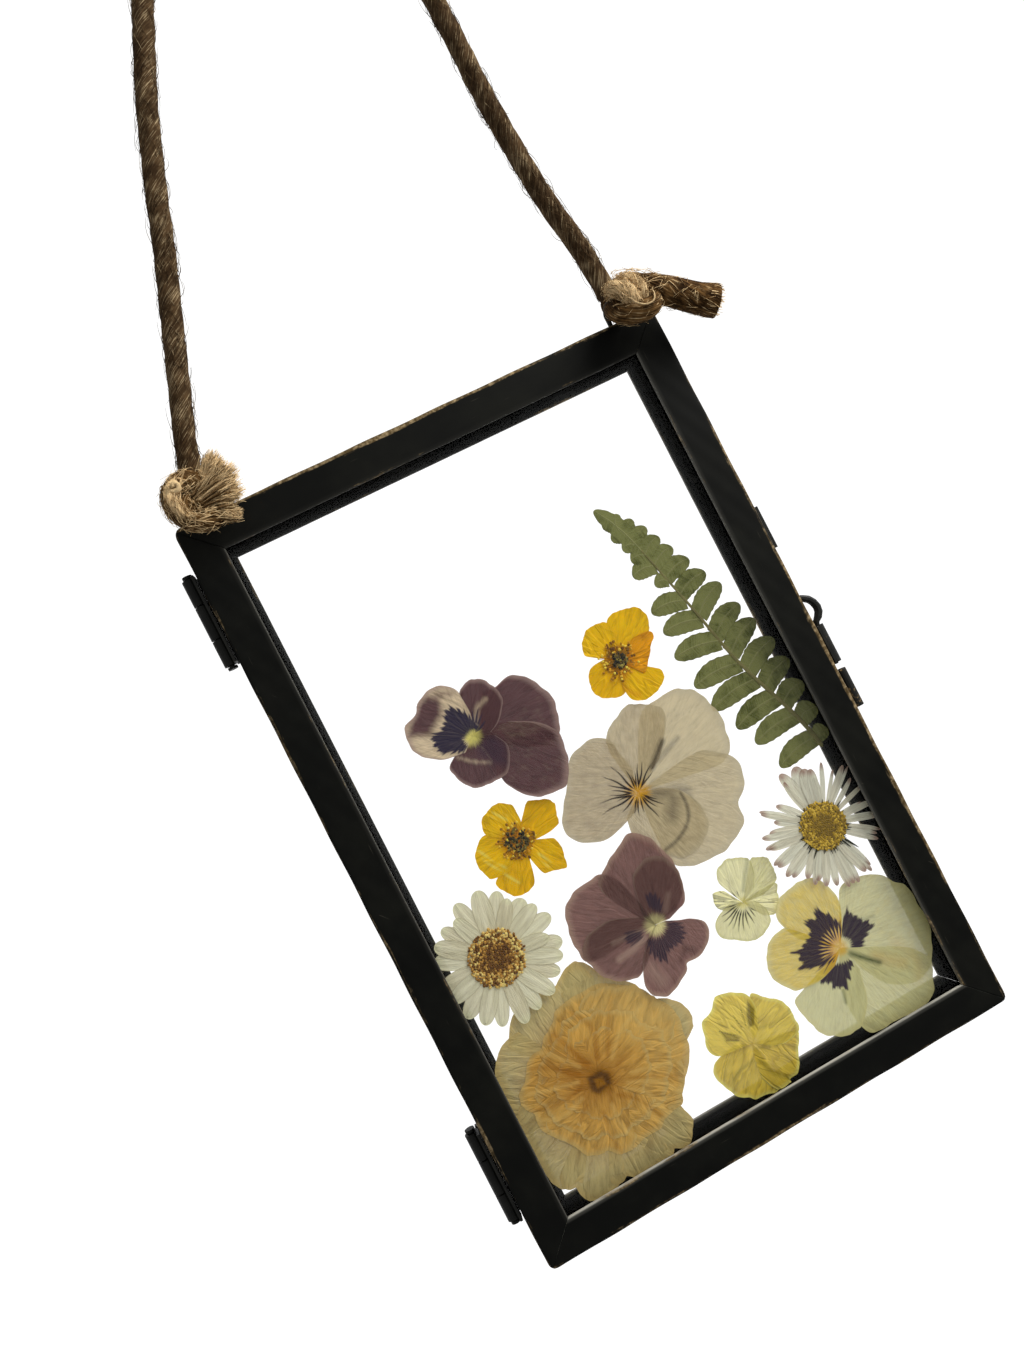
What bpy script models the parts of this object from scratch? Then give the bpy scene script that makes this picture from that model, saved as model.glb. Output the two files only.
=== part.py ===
"""A small hanging frame with pressed flowers between two panes of glass.

Two mitred black metal half-frames each hold a pane. They are hinged on the left and meet at a pin
latch on the right, and a jute rope is knotted through a wire eyelet at each top corner. The flowers
and the fern tip lie in three layers between the panes and stay with the front half.
"""

import math

import bmesh
import bpy
from mathutils import Matrix, Vector

MM = 0.001  # every length below is in millimetres

# Frame. d is measured inwards from the outer edge, y backwards from the front face, x and z from the
# middle of the front face.
WIDTH, HEIGHT = 100.0, 150.0
CORNER_RADIUS = 2.0
HALF_DEPTH = 3.3
SEAM = 0.3
DEPTH = 2 * HALF_DEPTH + SEAM
METAL = 0.8
FRONT_FACE, BACK_FACE = 7.0, 8.0
LIP_WIDTH, LIP_THICKNESS = 3.0, 0.7
EDGE_CHAMFER = 0.3
MITRE_GAP = 0.3
GLASS = 1.5
GLASS_PLAY = 0.15
GLASS_EDGE = METAL + 0.3
CLEAR = 0.3  # between pieces that touch in the real frame

# Rope, and the point it hangs from, which is the origin.
ROPE_DIAMETER = 4.2
ROPE_Y = 4.6
ROPE_STEP = 8.0
HANG_X, HANG_Z = 27.6, 225.8
ROPE_ROUTE = [
    (-42.9, 83.6), (-40.7, 90.5), (-36.7, 101.4), (-32.5, 112.8), (-28.1, 124.7), (-25.0, 133.9),
    (-21.7, 143.0), (-18.7, 150.9), (-15.6, 158.1), (-10.3, 169.9), (-4.6, 182.4), (1.4, 195.0),
    (7.6, 207.0), (14.2, 217.6), (21.2, 225.2), (27.6, 227.9), (33.6, 224.8), (38.4, 215.0),
    (40.9, 201.0), (41.5, 186.0), (41.2, 170.0), (40.9, 155.0), (41.1, 139.5), (41.0, 130.7),
    (41.3, 121.6), (41.8, 112.3), (42.6, 103.1), (44.2, 92.9), (44.9, 83.6),
]

# Eyelets and knots.
EYELET_X = {"left": -43.5, "right": 44.3}
EYELET_Y = HALF_DEPTH / 2
EYELET_WIRE = 1.0
EYELET_LEG = 1.6
EYELET_RADIUS = 2.8
NECK_RADIUS = 1.7
NECK_Z = 77.25
KNOTS = {
    "left": dict(centre=(-44.5, -5.3, 78.0), radii=(4.4, 4.3, 6.1), lean=20),
    "right": dict(centre=(45.2, -5.9, 76.4), radii=(4.8, 4.7, 5.2), lean=-15),
}
KNOT_RIPPLE = 0.07
FRAYED_TAIL = [
    (-44.0, 82.0), (-39.6, 84.6), (-36.4, 84.0), (-34.4, 80.2), (-34.0, 76.4), (-35.6, 72.0),
    (-38.6, 69.8), (-43.0, 73.0),
]
FRAYED_TAIL_Y, FRAYED_TAIL_THICKNESS = -4.0, 3.0
CUT_TAIL = dict(start=(47.5, -4.9, 76.8), end=(61.5, -4.4, 70.4), radii=(2.3, 3.6))

# Hinges on the left side. The axis stands in the seam.
HINGE_AXIS = Vector((-WIDTH / 2 - 1.7, HALF_DEPTH + SEAM / 2))
HINGE_Z = {"upper": 57.6, "lower": -55.8}
HINGE_LENGTH, MIDDLE_KNUCKLE = 17.4, 6.6
KNUCKLE_RADIUS, BORE_RADIUS, PIN_RADIUS = 1.3, 0.85, 0.55
PIN_HEAD_RADIUS, PIN_HEAD = 0.95, 0.5
LEAF = 0.5
LEAF_REACH = 2.85  # from the axis plane to the leaf's far edge
LEAF_NOTCH = 1.45  # from the axis plane to the leaf, where the other leaf's knuckles turn

# Pin latch and thumb tab on the right side.
LATCH_AXIS = Vector((WIDTH / 2 + 1.6, HALF_DEPTH + SEAM / 2))
LATCH_TUBE_RADIUS, LATCH_BORE = 1.15, 0.75
LATCH_TUBES = {"front": (-2.7, 5.3), "back": (-12.3, -4.3)}
# The pin's wire: reach from the axis, z and radius. It thickens in the finger loop.
LATCH_PIN = [
    (0.0, -2.2, 0.55), (0.0, 5.4, 0.55), (0.2, 6.1, 0.65), (1.0, 6.8, 0.8), (1.6, 7.7, 0.82), (1.75, 8.7, 0.82),
    (1.45, 9.8, 0.8), (0.85, 10.7, 0.78), (0.0, 11.3, 0.7), (-0.6, 11.7, 0.6),
]
TAB = dict(bottom=22.6, top=31.6, front=4.4, back=6.3, reach=2.0, thickness=0.5)

# Specimens. Each lies in a layer, its front this far behind the face.
LAYER_Y = {"front": 2.60, "middle": 3.22, "rear": 3.84}
BASE_PETALS = 0.25  # thickness of the petals at the back of a flower
TOP_PETALS = 0.15  # how far the petals in front of them, or the disc, stand out

# A petal is (x, z of its middle, half length, half width, tilt in degrees, squareness).
FLOWERS = {
    "viola_purple_cream": dict(
        layer="front", centre=(-17.5, 16.6),
        back=[(-8.2, 17.5, 6.5, 6.2, 90, 2), (-9.6, 8.1, 7.3, 6.3, 80, 2)],
        top=[
            (-21.3, 22.9, 5.4, 4.4, 95, 2.2), (-25.2, 20.2, 4.5, 4.3, 0, 2), (-14.2, 21.8, 5.0, 4.0, 75, 2),
            (-19.3, 12.3, 5.6, 4.5, -10, 2.3),
        ],
    ),
    "viola_white": dict(
        layer="middle", centre=(4.9, -6.8),
        back=[
            (11.0, 1.9, 6.9, 6.8, 0, 2), (18.4, 0.0, 7.6, 7.6, 0, 2), (15.5, -14.5, 10.0, 9.2, -40, 2.2),
            (19.0, -7.0, 6.6, 6.0, 0, 2),
        ],
        top=[
            (-3.9, -4.8, 7.1, 6.9, 0, 2), (-0.1, 0.4, 6.2, 6.0, 0, 2), (5.6, -13.0, 6.6, 5.6, -30, 2),
            (9.0, -6.5, 5.0, 4.2, 10, 2),
        ],
    ),
    "viola_purple": dict(
        layer="front", centre=(-4.3, -30.0),
        back=[(-1.6, -19.3, 6.5, 5.9, 90, 2.1), (-12.3, -24.4, 7.6, 7.2, 0, 2.2)],
        top=[
            (-0.1, -24.0, 5.9, 4.4, 85, 2), (-11.8, -31.0, 6.8, 5.6, -8, 2.1), (0.2, -35.0, 4.7, 4.1, -30, 2),
            (-6.1, -37.7, 5.5, 4.8, 75, 2),
        ],
    ),
    "viola_pale_small": dict(
        layer="rear", centre=(13.4, -35.0),
        back=[(14.4, -30.6, 4.1, 3.8, 90, 2.4), (18.3, -32.0, 3.5, 3.3, 90, 2.3), (16.9, -36.6, 3.4, 3.3, 0, 2)],
        top=[(11.3, -31.9, 3.2, 2.7, 20, 2.2), (11.2, -37.8, 5.3, 4.3, -20, 2.2)],
    ),
    "pansy_pale": dict(
        layer="middle", centre=(25.6, -52.2),
        back=[
            (35.2, -50.3, 9.2, 9.2, 0, 2), (20.5, -59.5, 7.4, 7.3, 0, 2), (31.5, -59.9, 9.7, 9.6, 0, 2.1),
        ],
        top=[(23.9, -42.6, 6.2, 6.2, 0, 2), (17.2, -49.0, 6.2, 6.0, 0, 2)],
    ),
    "viola_yellow": dict(
        layer="middle", centre=(2.5, -58.7),
        back=[(-2.2, -61.2, 5.0, 4.9, 0, 2.2), (6.3, -62.6, 5.8, 4.9, 100, 2.4), (1.3, -65.0, 4.8, 4.3, 0, 2.6)],
        top=[(-0.8, -53.2, 5.6, 5.2, 60, 2.3), (6.9, -56.3, 5.2, 4.7, -30, 2.3)],
    ),
    "buttercup_upper": dict(
        layer="front", centre=(13.0, 17.0),
        back=[(11.6, 21.0, 4.2, 4.1, 0, 2), (17.6, 21.6, 4.3, 4.1, 0, 2), (9.6, 14.2, 3.9, 3.7, 0, 2),
              (15.3, 11.8, 4.3, 3.7, 0, 2), (19.0, 13.6, 1.5, 0.6, -35, 2)],
        top=[(17.0, 17.2, 4.2, 2.8, 22, 2)],
    ),
    "buttercup_lower": dict(
        layer="rear", centre=(-20.2, -4.2),
        back=[(-20.9, 0.1, 3.9, 3.5, 80, 2), (-25.2, -4.6, 4.0, 3.5, 90, 2.1), (-23.2, -9.9, 3.9, 3.7, 60, 2),
              (-15.9, -9.7, 3.5, 3.1, -20, 2.6), (-13.6, -2.1, 3.6, 3.1, -28, 4)],
        disc=2.6,
    ),
}
STEPS_ROUND = 56  # outline points of a flower
SCALLOPED = dict(
    name="ruffled_flower_tan", layer="middle", centre=(-26.0, -50.5), inner_radius=15.0, inner_ripples=9,
    lobes=[
        (80, 21.6), (58, 20.4), (31, 18.9), (5, 20.3), (-21, 16.7), (-47, 18.2), (-65, 20.3), (-90, 19.5),
        (-116, 21.6), (-138, 20.9), (-161, 19.6), (168, 19.0), (140, 19.8), (113, 18.6),
    ],
    notch=1.3,
)
DAISIES = {
    "daisy_broad": dict(
        layer="front", centre=(-33.2, -21.3), disc=5.6, width=4.3, reach=12.5,
        angles=[101, 80, 64, 44, 28, 11, -13, -28, -44, -59, -75, -91, -109, -128, -146, -165, 173, 152, 128],
        longer={5: 0.4, 11: 0.6, 6: 0.5},
    ),
    "daisy_narrow": dict(
        layer="front", centre=(33.8, -29.3), disc=4.5, width=2.1, reach=11.6,
        angles=[90, 104, 116, 131, 143, 162, 173, 184, 195, 208, 219, 229, 240, 249, 258, 270, 281, 293,
                319, 333, 344, 355, 7, 21, 33, 46, 58, 70, 80],
        longer={0: 1.6, 1: 1.2, 28: 1.0, 14: 1.0, 17: 1.2, 3: 0.8, 4: 0.8},
    ),
}
FERN = dict(
    layer="rear",
    rachis=[
        (22.5, 44.9), (24.6, 40.4), (26.6, 35.8), (27.9, 31.4), (28.9, 27.4), (30.2, 22.6), (31.5, 17.4),
        (32.6, 12.5), (33.8, 7.8), (35.2, 3.4), (36.8, -0.8), (38.4, -4.8), (39.8, -8.8), (41.0, -13.0),
        (41.6, -16.2),
    ],
    stalk=1.2,
    # Each leaflet is (x, z of its tip, half width, place along the rachis as a number of rachis points).
    left=[(23.1, 38.4, 1.1, 1.4), (23.9, 36.4, 1.2, 2.0), (24.5, 33.3, 1.4, 2.55), (23.4, 30.2, 1.7, 3.2),
          (26.9, 26.9, 1.0, 4.15), (23.4, 22.4, 1.9, 5.1), (23.7, 17.9, 1.9, 6.05), (23.4, 12.6, 2.1, 7.1),
          (24.3, 5.9, 2.1, 8.3), (25.3, 0.4, 2.2, 9.35), (28.0, -5.0, 2.2, 10.55), (30.0, -9.3, 2.1, 11.75),
          (32.2, -15.6, 2.0, 13.15)],
    right=[(27.9, 40.3, 1.1, 1.45), (30.0, 38.2, 1.3, 1.95), (31.5, 35.2, 1.4, 2.5), (33.0, 32.2, 1.6, 3.15),
           (34.9, 28.7, 1.6, 3.95), (36.5, 24.8, 1.7, 4.8), (38.2, 21.7, 1.9, 5.85), (39.7, 16.3, 2.0, 6.9),
           (41.0, 12.3, 2.1, 7.85), (42.8, 7.2, 2.1, 8.85), (43.6, 2.4, 2.1, 9.9), (44.0, -3.0, 2.1, 11.0),
           (44.3, -8.6, 2.0, 12.1), (44.4, -13.8, 1.6, 13.3)],
)

ORIGIN = Vector((-HANG_X, -ROPE_Y, -HANG_Z)) * MM  # the middle of the front face, from the hanging point


def clear_scene():
    for obj in list(bpy.data.objects):
        bpy.data.objects.remove(obj, do_unlink=True)


def collection(name):
    made = bpy.data.collections.new(name)
    bpy.context.scene.collection.children.link(made)
    return made


def material(name, colour, roughness, metallic=0.0, alpha=1.0):
    made = bpy.data.materials.new(name)
    made.use_nodes = True
    shader = made.node_tree.nodes["Principled BSDF"]
    shader.inputs["Base Color"].default_value = (*colour, 1.0)
    shader.inputs["Roughness"].default_value = roughness
    shader.inputs["Metallic"].default_value = metallic
    shader.inputs["Alpha"].default_value = alpha
    made.diffuse_color = (*colour, 1.0)
    return made


def add(name, mesh, finish, group=None):
    """A mesh as an object of the frame: its own origin is the middle of the front face."""
    obj = bpy.data.objects.new(name, mesh)
    obj.location = ORIGIN
    obj.data.materials.append(finish)
    (group or parts).objects.link(obj)
    return obj


def mesh_from(bm, name):
    bmesh.ops.recalc_face_normals(bm, faces=bm.faces)
    mesh = bpy.data.meshes.new(name)
    bm.to_mesh(mesh)
    bm.free()
    return mesh


def box_mesh(name, low, high):
    """A box between two corners in millimetres."""
    low, high = Vector(low) * MM, Vector(high) * MM
    bm = bmesh.new()
    bmesh.ops.create_cube(bm, size=1.0)
    bmesh.ops.scale(bm, vec=high - low, verts=bm.verts)
    bmesh.ops.translate(bm, vec=(low + high) / 2, verts=bm.verts)
    return mesh_from(bm, name)


def rod_mesh(name, start, end, radii, sides=16):
    """A cylinder or cone between two points in millimetres."""
    start, end = Vector(start) * MM, Vector(end) * MM
    bm = bmesh.new()
    bmesh.ops.create_cone(
        bm, cap_ends=True, segments=sides, radius1=radii[0] * MM, radius2=radii[1] * MM,
        depth=(end - start).length,
    )
    turn = (end - start).to_track_quat("Z", "Y").to_matrix().to_4x4()
    bmesh.ops.transform(bm, matrix=Matrix.Translation((start + end) / 2) @ turn, verts=bm.verts)
    return mesh_from(bm, name)


def realised(curve_object):
    """The mesh of a curve object, with its caps welded to its sides."""
    graph = bpy.context.evaluated_depsgraph_get()
    mesh = bpy.data.meshes.new_from_object(curve_object.evaluated_get(graph))
    data = curve_object.data
    bpy.data.objects.remove(curve_object, do_unlink=True)
    bpy.data.curves.remove(data)
    bm = bmesh.new()
    bm.from_mesh(mesh)
    bpy.data.meshes.remove(mesh)
    bmesh.ops.remove_doubles(bm, verts=bm.verts, dist=1e-6)
    return bm


def outline_mesh(name, outline, front, thickness):
    """A flat piece: an outline in x and z, from front to front + thickness in y, all in millimetres."""
    curve = bpy.data.curves.new(name, "CURVE")
    curve.dimensions = "2D"
    curve.fill_mode = "BOTH"
    curve.extrude = thickness / 2 * MM
    spline = curve.splines.new("POLY")
    spline.points.add(len(outline) - 1)
    for point, (x, z) in zip(spline.points, outline):
        point.co = (x * MM, z * MM, 0.0, 1.0)
    spline.use_cyclic_u = True
    drawn = bpy.data.objects.new(name, curve)
    parts.objects.link(drawn)
    bpy.context.view_layer.update()
    bm = realised(drawn)
    stand = Matrix.Rotation(math.pi / 2, 4, "X")
    stand.translation = Vector((0, (front + thickness / 2) * MM, 0))
    bmesh.ops.transform(bm, matrix=stand, verts=bm.verts)
    return mesh_from(bm, name)


def tube_mesh(name, points, radii, resolution=2):
    """A round bar along points in millimetres, with a radius for each point."""
    curve = bpy.data.curves.new(name, "CURVE")
    curve.dimensions = "3D"
    curve.bevel_depth = MM
    curve.bevel_resolution = resolution
    curve.use_fill_caps = True
    spline = curve.splines.new("POLY")
    spline.points.add(len(points) - 1)
    for point, place, radius in zip(spline.points, points, radii):
        point.co = (*(Vector(place) * MM), 1.0)
        point.radius = radius
    drawn = bpy.data.objects.new(name, curve)
    parts.objects.link(drawn)
    bpy.context.view_layer.update()
    return mesh_from(realised(drawn), name)


def smooth_route(points, step):
    """Points about one step apart on the smooth curve through the given points."""
    padded = [2 * points[0] - points[1], *points, 2 * points[-1] - points[-2]]
    fine = []
    for before, a, b, after in zip(padded, padded[1:], padded[2:], padded[3:]):
        for k in range(10):
            t = k / 10
            fine.append(
                0.5 * (2 * a + (b - before) * t + (2 * before - 5 * a + 4 * b - after) * t**2
                       + (3 * a - before - 3 * b + after) * t**3)
            )
    fine.append(points[-1])
    along = [0.0]
    for a, b in zip(fine, fine[1:]):
        along.append(along[-1] + (b - a).length)
    count = round(along[-1] / step)
    route, at = [], 0
    for k in range(count + 1):
        goal = along[-1] * k / count
        while at < len(fine) - 2 and along[at + 1] < goal:
            at += 1
        share = (goal - along[at]) / (along[at + 1] - along[at])
        route.append(fine[at].lerp(fine[at + 1], share))
    return route


def combine(obj, mesh, operation):
    """Joins a mesh to an object, or cuts it from the object, with an exact Boolean."""
    other = add(f"{obj.name}_{operation.lower()}_{len(obj.modifiers)}", mesh, obj.data.materials[0], helpers)
    other.hide_render = True
    other.display_type = "WIRE"
    change = obj.modifiers.new(operation.title(), "BOOLEAN")
    change.operation = operation
    change.solver = "EXACT"
    change.object = other


def rail(name, side, face, back):
    """One mitred length of metal channel. Its profile is drawn in d and y, and its ends follow 45 degrees."""
    profile = [
        (0, EDGE_CHAMFER), (EDGE_CHAMFER, 0), (face, 0), (face, METAL), (METAL, METAL),
        (METAL, HALF_DEPTH - LIP_THICKNESS), (LIP_WIDTH, HALF_DEPTH - LIP_THICKNESS),
        (LIP_WIDTH, HALF_DEPTH), (0, HALF_DEPTH),
    ]
    turn = {"left": 0, "top": 90, "right": 180, "bottom": 270}[side]
    across, length = (WIDTH, HEIGHT) if side in ("left", "right") else (HEIGHT, WIDTH)
    bm = bmesh.new()
    near_end = [
        bm.verts.new((d - across / 2, DEPTH - y if back else y, d + MITRE_GAP / math.sqrt(2) - length / 2))
        for d, y in profile
    ]
    start = bm.faces.new(near_end)
    far_end = bmesh.ops.extrude_face_region(bm, geom=[start])["geom"]
    for vert in far_end:
        if isinstance(vert, bmesh.types.BMVert):
            vert.co.z = -vert.co.z
    place = Matrix.Rotation(math.radians(turn), 4, "Y") @ Matrix.Diagonal((MM, MM, MM, 1))
    bmesh.ops.transform(bm, matrix=place, verts=bm.verts)
    obj = add(name, mesh_from(bm, name), black_metal)
    rounded = obj.modifiers.new("Rounded corners", "BOOLEAN")
    rounded.operation = "INTERSECT"
    rounded.solver = "EXACT"
    rounded.object = corner_form
    return obj


def make_corner_form():
    """A plate with the frame's rounded outline, which the rails' corners are cut to."""
    bm = bmesh.new()
    bmesh.ops.create_cube(bm, size=1.0)
    bmesh.ops.scale(bm, vec=(WIDTH * MM, 2 * DEPTH * MM, HEIGHT * MM), verts=bm.verts)
    bmesh.ops.translate(bm, vec=(0, DEPTH / 2 * MM, 0), verts=bm.verts)
    upright = [e for e in bm.edges if abs(e.verts[0].co.y - e.verts[1].co.y) > DEPTH * MM]
    bmesh.ops.bevel(bm, geom=upright, offset=CORNER_RADIUS * MM, segments=4, profile=0.5, affect="EDGES")
    form = add("rounded_outline", mesh_from(bm, "rounded_outline"), black_metal, helpers)
    form.hide_render = True
    form.display_type = "WIRE"
    return form


def pane(name, front):
    half_w, half_h = WIDTH / 2 - GLASS_EDGE, HEIGHT / 2 - GLASS_EDGE
    return add(name, box_mesh(name, (-half_w, front, -half_h), (half_w, front + GLASS, half_h)), glass)


def hinge_leaf(name, middle, direction):
    """A leaf on the left side, from the barrel forwards (direction -1) or backwards (1), with its knuckles."""
    x, y = HINGE_AXIS
    half, knuckle = HINGE_LENGTH / 2, MIDDLE_KNUCKLE / 2
    own = [(-knuckle, knuckle)] if direction > 0 else [(knuckle + CLEAR, half), (-half, -knuckle - CLEAR)]
    flat = -WIDTH / 2 - CLEAR

    def plate(label, near, far, low, high):
        ends = sorted((y + direction * near, y + direction * far))
        return box_mesh(label, (flat - LEAF, ends[0], middle + low), (flat, ends[1], middle + high))

    leaf = add(name, plate(name, LEAF_NOTCH, LEAF_REACH, -half, half), black_metal)
    for low, high in own:
        combine(leaf, plate("tongue", 0, LEAF_NOTCH + 0.2, low, high), "UNION")
        ends = (x, y, middle + low), (x, y, middle + high)
        combine(leaf, rod_mesh("knuckle", *ends, (KNUCKLE_RADIUS, KNUCKLE_RADIUS), 20), "UNION")
    bore = (x, y, middle - half - 1), (x, y, middle + half + 1)
    combine(leaf, rod_mesh("bore", *bore, (BORE_RADIUS, BORE_RADIUS), 20), "DIFFERENCE")
    return leaf


def hinge_pin(name, middle):
    """A pin with a flattened head beyond each end of the barrel."""
    x, y = HINGE_AXIS
    end = HINGE_LENGTH / 2 + CLEAR + PIN_HEAD
    pin = add(name, rod_mesh(name, (x, y, middle - end), (x, y, middle + end), (PIN_RADIUS, PIN_RADIUS)), black_metal)
    for side in (-1, 1):
        low, high = sorted((middle + side * end, middle + side * (end - PIN_HEAD)))
        head = rod_mesh("head", (x, y, low), (x, y, high), (PIN_HEAD_RADIUS, PIN_HEAD_RADIUS))
        combine(pin, head, "UNION")
    return pin


def latch_tube(name, low, high, direction):
    """A tube for the latch pin, on a leaf that lies against the right side."""
    x, y = LATCH_AXIS
    flat = WIDTH / 2 + CLEAR
    ends = sorted((y, y + direction * LEAF_REACH))
    leaf = add(name, box_mesh(name, (flat, ends[0], low), (flat + LEAF, ends[1], high)), black_metal)
    tube = rod_mesh("tube", (x, y, low), (x, y, high), (LATCH_TUBE_RADIUS, LATCH_TUBE_RADIUS))
    combine(leaf, tube, "UNION")
    bore = rod_mesh("bore", (x, y, low - 1), (x, y, high + 1), (LATCH_BORE, LATCH_BORE))
    combine(leaf, bore, "DIFFERENCE")
    return leaf


def latch_pin():
    """A wire pin whose head is bent into an open finger loop."""
    x, y = LATCH_AXIS
    route = [(x + reach, y, z) for reach, z, _ in LATCH_PIN]
    radii = [radius for _, _, radius in LATCH_PIN]
    return add("latch_pin", tube_mesh("latch_pin", route, radii, 3), black_metal)


def thumb_tab():
    """A lug of bent sheet on the back half: one leg lies on the side, and the other stands out."""
    flat, t = WIDTH / 2 + CLEAR, TAB["thickness"]
    outline = [
        (flat, TAB["front"]), (flat + TAB["reach"], TAB["front"]), (flat + TAB["reach"], TAB["front"] + t),
        (flat + t, TAB["front"] + t), (flat + t, TAB["back"]), (flat, TAB["back"]),
    ]
    bm = bmesh.new()
    floor = bm.faces.new([bm.verts.new((x * MM, y * MM, TAB["bottom"] * MM)) for x, y in outline])
    for made in bmesh.ops.extrude_face_region(bm, geom=[floor])["geom"]:
        if isinstance(made, bmesh.types.BMVert):
            made.co.z = TAB["top"] * MM
    return add("thumb_tab", mesh_from(bm, "thumb_tab"), black_metal)


def eyelet(name, x):
    """A wire arch that stands on the top rail."""
    foot = HEIGHT / 2 + CLEAR
    arch = [
        (x - EYELET_RADIUS * math.cos(a), EYELET_Y, foot + EYELET_LEG + EYELET_RADIUS * math.sin(a))
        for a in (math.pi * k / 12 for k in range(13))
    ]
    route = [(x - EYELET_RADIUS, EYELET_Y, foot), *arch, (x + EYELET_RADIUS, EYELET_Y, foot)]
    return add(name, tube_mesh(name, route, [EYELET_WIRE / 2] * len(route)), black_metal)


def knot_body(name, centre, radii, lean):
    """A round lump with shallow grooves that wind over it, where the rope passes over itself."""
    bm = bmesh.new()
    bmesh.ops.create_uvsphere(bm, u_segments=18, v_segments=12, radius=1.0)
    for vert in bm.verts:
        x, y, z = vert.co
        winding = 3 * math.atan2(z, x) + 2.5 * y
        vert.co *= 1 + KNOT_RIPPLE * math.sin(winding) * math.sqrt(max(0.0, 1 - y * y))
    shape = Matrix.Rotation(math.radians(lean), 4, "Y") @ Matrix.Diagonal((*radii, 1))
    place = Matrix.Translation(Vector(centre) * MM) @ Matrix.Scale(MM, 4) @ shape
    bmesh.ops.transform(bm, matrix=place, verts=bm.verts)
    return mesh_from(bm, name)


def knot(side):
    """The stopper knot in front of an eyelet, the neck of rope that runs back through it, and its tail."""
    name, size = f"{side}_knot", KNOTS[side]
    x, (cx, cy, cz) = EYELET_X[side], size["centre"]
    ends = ROPE_ROUTE[:2] if side == "left" else ROPE_ROUTE[:-3:-1]
    rope_end, above = (Vector((rope_x, ROPE_Y, rope_z)) for rope_x, rope_z in ends)
    down = (rope_end - above).normalized()
    neck = [
        (cx, cy + 1.0, cz), (x, -1.6, NECK_Z + 0.3), (x, 0.4, NECK_Z), (x, 2.6, NECK_Z),
        (x, 4.0, NECK_Z + 1.0), (x, ROPE_Y, NECK_Z + 2.5), rope_end + down * 1.6, rope_end + down * CLEAR,
    ]
    obj = add(name, knot_body(name, **size), jute)
    combine(obj, tube_mesh("neck", neck, [NECK_RADIUS] * len(neck)), "UNION")
    if side == "left":
        front = FRAYED_TAIL_Y - FRAYED_TAIL_THICKNESS / 2
        tail = outline_mesh("tail", FRAYED_TAIL, front, FRAYED_TAIL_THICKNESS)
    else:
        tail = rod_mesh("tail", CUT_TAIL["start"], CUT_TAIL["end"], CUT_TAIL["radii"], 12)
    combine(obj, tail, "UNION")
    return obj


def rope():
    """The jute rope, from the left knot over the hanging point to the right knot."""
    route = smooth_route([Vector((x, ROPE_Y, z)) for x, z in ROPE_ROUTE], ROPE_STEP)
    return add("hanging_rope", tube_mesh("hanging_rope", route, [ROPE_DIAMETER / 2] * len(route)), jute)


def reach_of_petal(petal, centre, angle):
    """How far a ray from the centre goes before it leaves a petal for the last time, or 0 if it misses it."""
    x, z, long, wide, tilt, squareness = petal
    turn = math.radians(tilt)
    far = 0.0
    for k in range(241):
        r = 0.1 * k
        dx, dz = centre[0] + r * math.cos(angle) - x, centre[1] + r * math.sin(angle) - z
        u = abs(dx * math.cos(turn) + dz * math.sin(turn)) / long
        v = abs(dz * math.cos(turn) - dx * math.sin(turn)) / wide
        if u**squareness + v**squareness <= 1:
            far = r
    return far


def petal_outline(petals, centre, least=1.5):
    """The outline of overlapping petals: along each ray from the centre, the furthest reach of any of them."""
    outline = []
    for k in range(STEPS_ROUND):
        angle = 2 * math.pi * k / STEPS_ROUND
        r = max([least, *(reach_of_petal(p, centre, angle) for p in petals)])
        outline.append((centre[0] + r * math.cos(angle), centre[1] + r * math.sin(angle)))
    return outline


def pressed(name, layer, back_outline, finish):
    front = LAYER_Y[layer] + TOP_PETALS
    return add(name, outline_mesh(name, back_outline, front, BASE_PETALS), finish)


def raise_layer(flower, layer, outline):
    """Adds the petals in front, which stand out from those behind them and are bedded into them."""
    front, bedded = LAYER_Y[layer], TOP_PETALS + BASE_PETALS / 2
    combine(flower, outline_mesh("top", outline, front, bedded), "UNION")


def round_disc(flower, layer, centre, radius, sides=20):
    front = LAYER_Y[layer]
    ends = (centre[0], front, centre[1]), (centre[0], front + TOP_PETALS + BASE_PETALS / 2, centre[1])
    combine(flower, rod_mesh("disc", *ends, (radius * 0.88, radius), sides), "UNION")


def flower(name, layer, centre, back, top=(), disc=0.0):
    """A flower whose top petals overlap its back petals; both are fused where they grow."""
    obj = pressed(name, layer, petal_outline([*back, *top], centre), petal_finish[name])
    if top:
        raise_layer(obj, layer, petal_outline(top, centre))
    if disc:
        round_disc(obj, layer, centre, disc)
    return obj


def scalloped_flower(name, layer, centre, lobes, notch, inner_radius, inner_ripples):
    """A ruffled flower: broad outer lobes, and a crumpled inner layer over them."""
    x, z = centre
    ordered = sorted(lobes)
    outline, inner = [], []
    for (a, r), (b, s) in zip(ordered, [*ordered[1:], (ordered[0][0] + 360, ordered[0][1])]):
        for share in (0.0, 0.2, 0.4, 0.5, 0.6, 0.8):
            angle = math.radians(a + (b - a) * share)
            reach = r + (s - r) * share - notch * (1 - abs(2 * share - 1)) ** 3 + 0.4 * math.sin(share * math.tau) ** 2
            outline.append((x + reach * math.cos(angle), z + reach * math.sin(angle)))
    for k in range(54):
        angle = math.tau * k / 54
        reach = inner_radius + 0.7 * math.sin(inner_ripples * angle) + 0.5 * math.sin(2 * angle + 1)
        inner.append((x + reach * math.cos(angle), z + reach * math.sin(angle)))
    obj = pressed(name, layer, outline, petal_finish[name])
    raise_layer(obj, layer, inner)
    return obj


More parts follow.
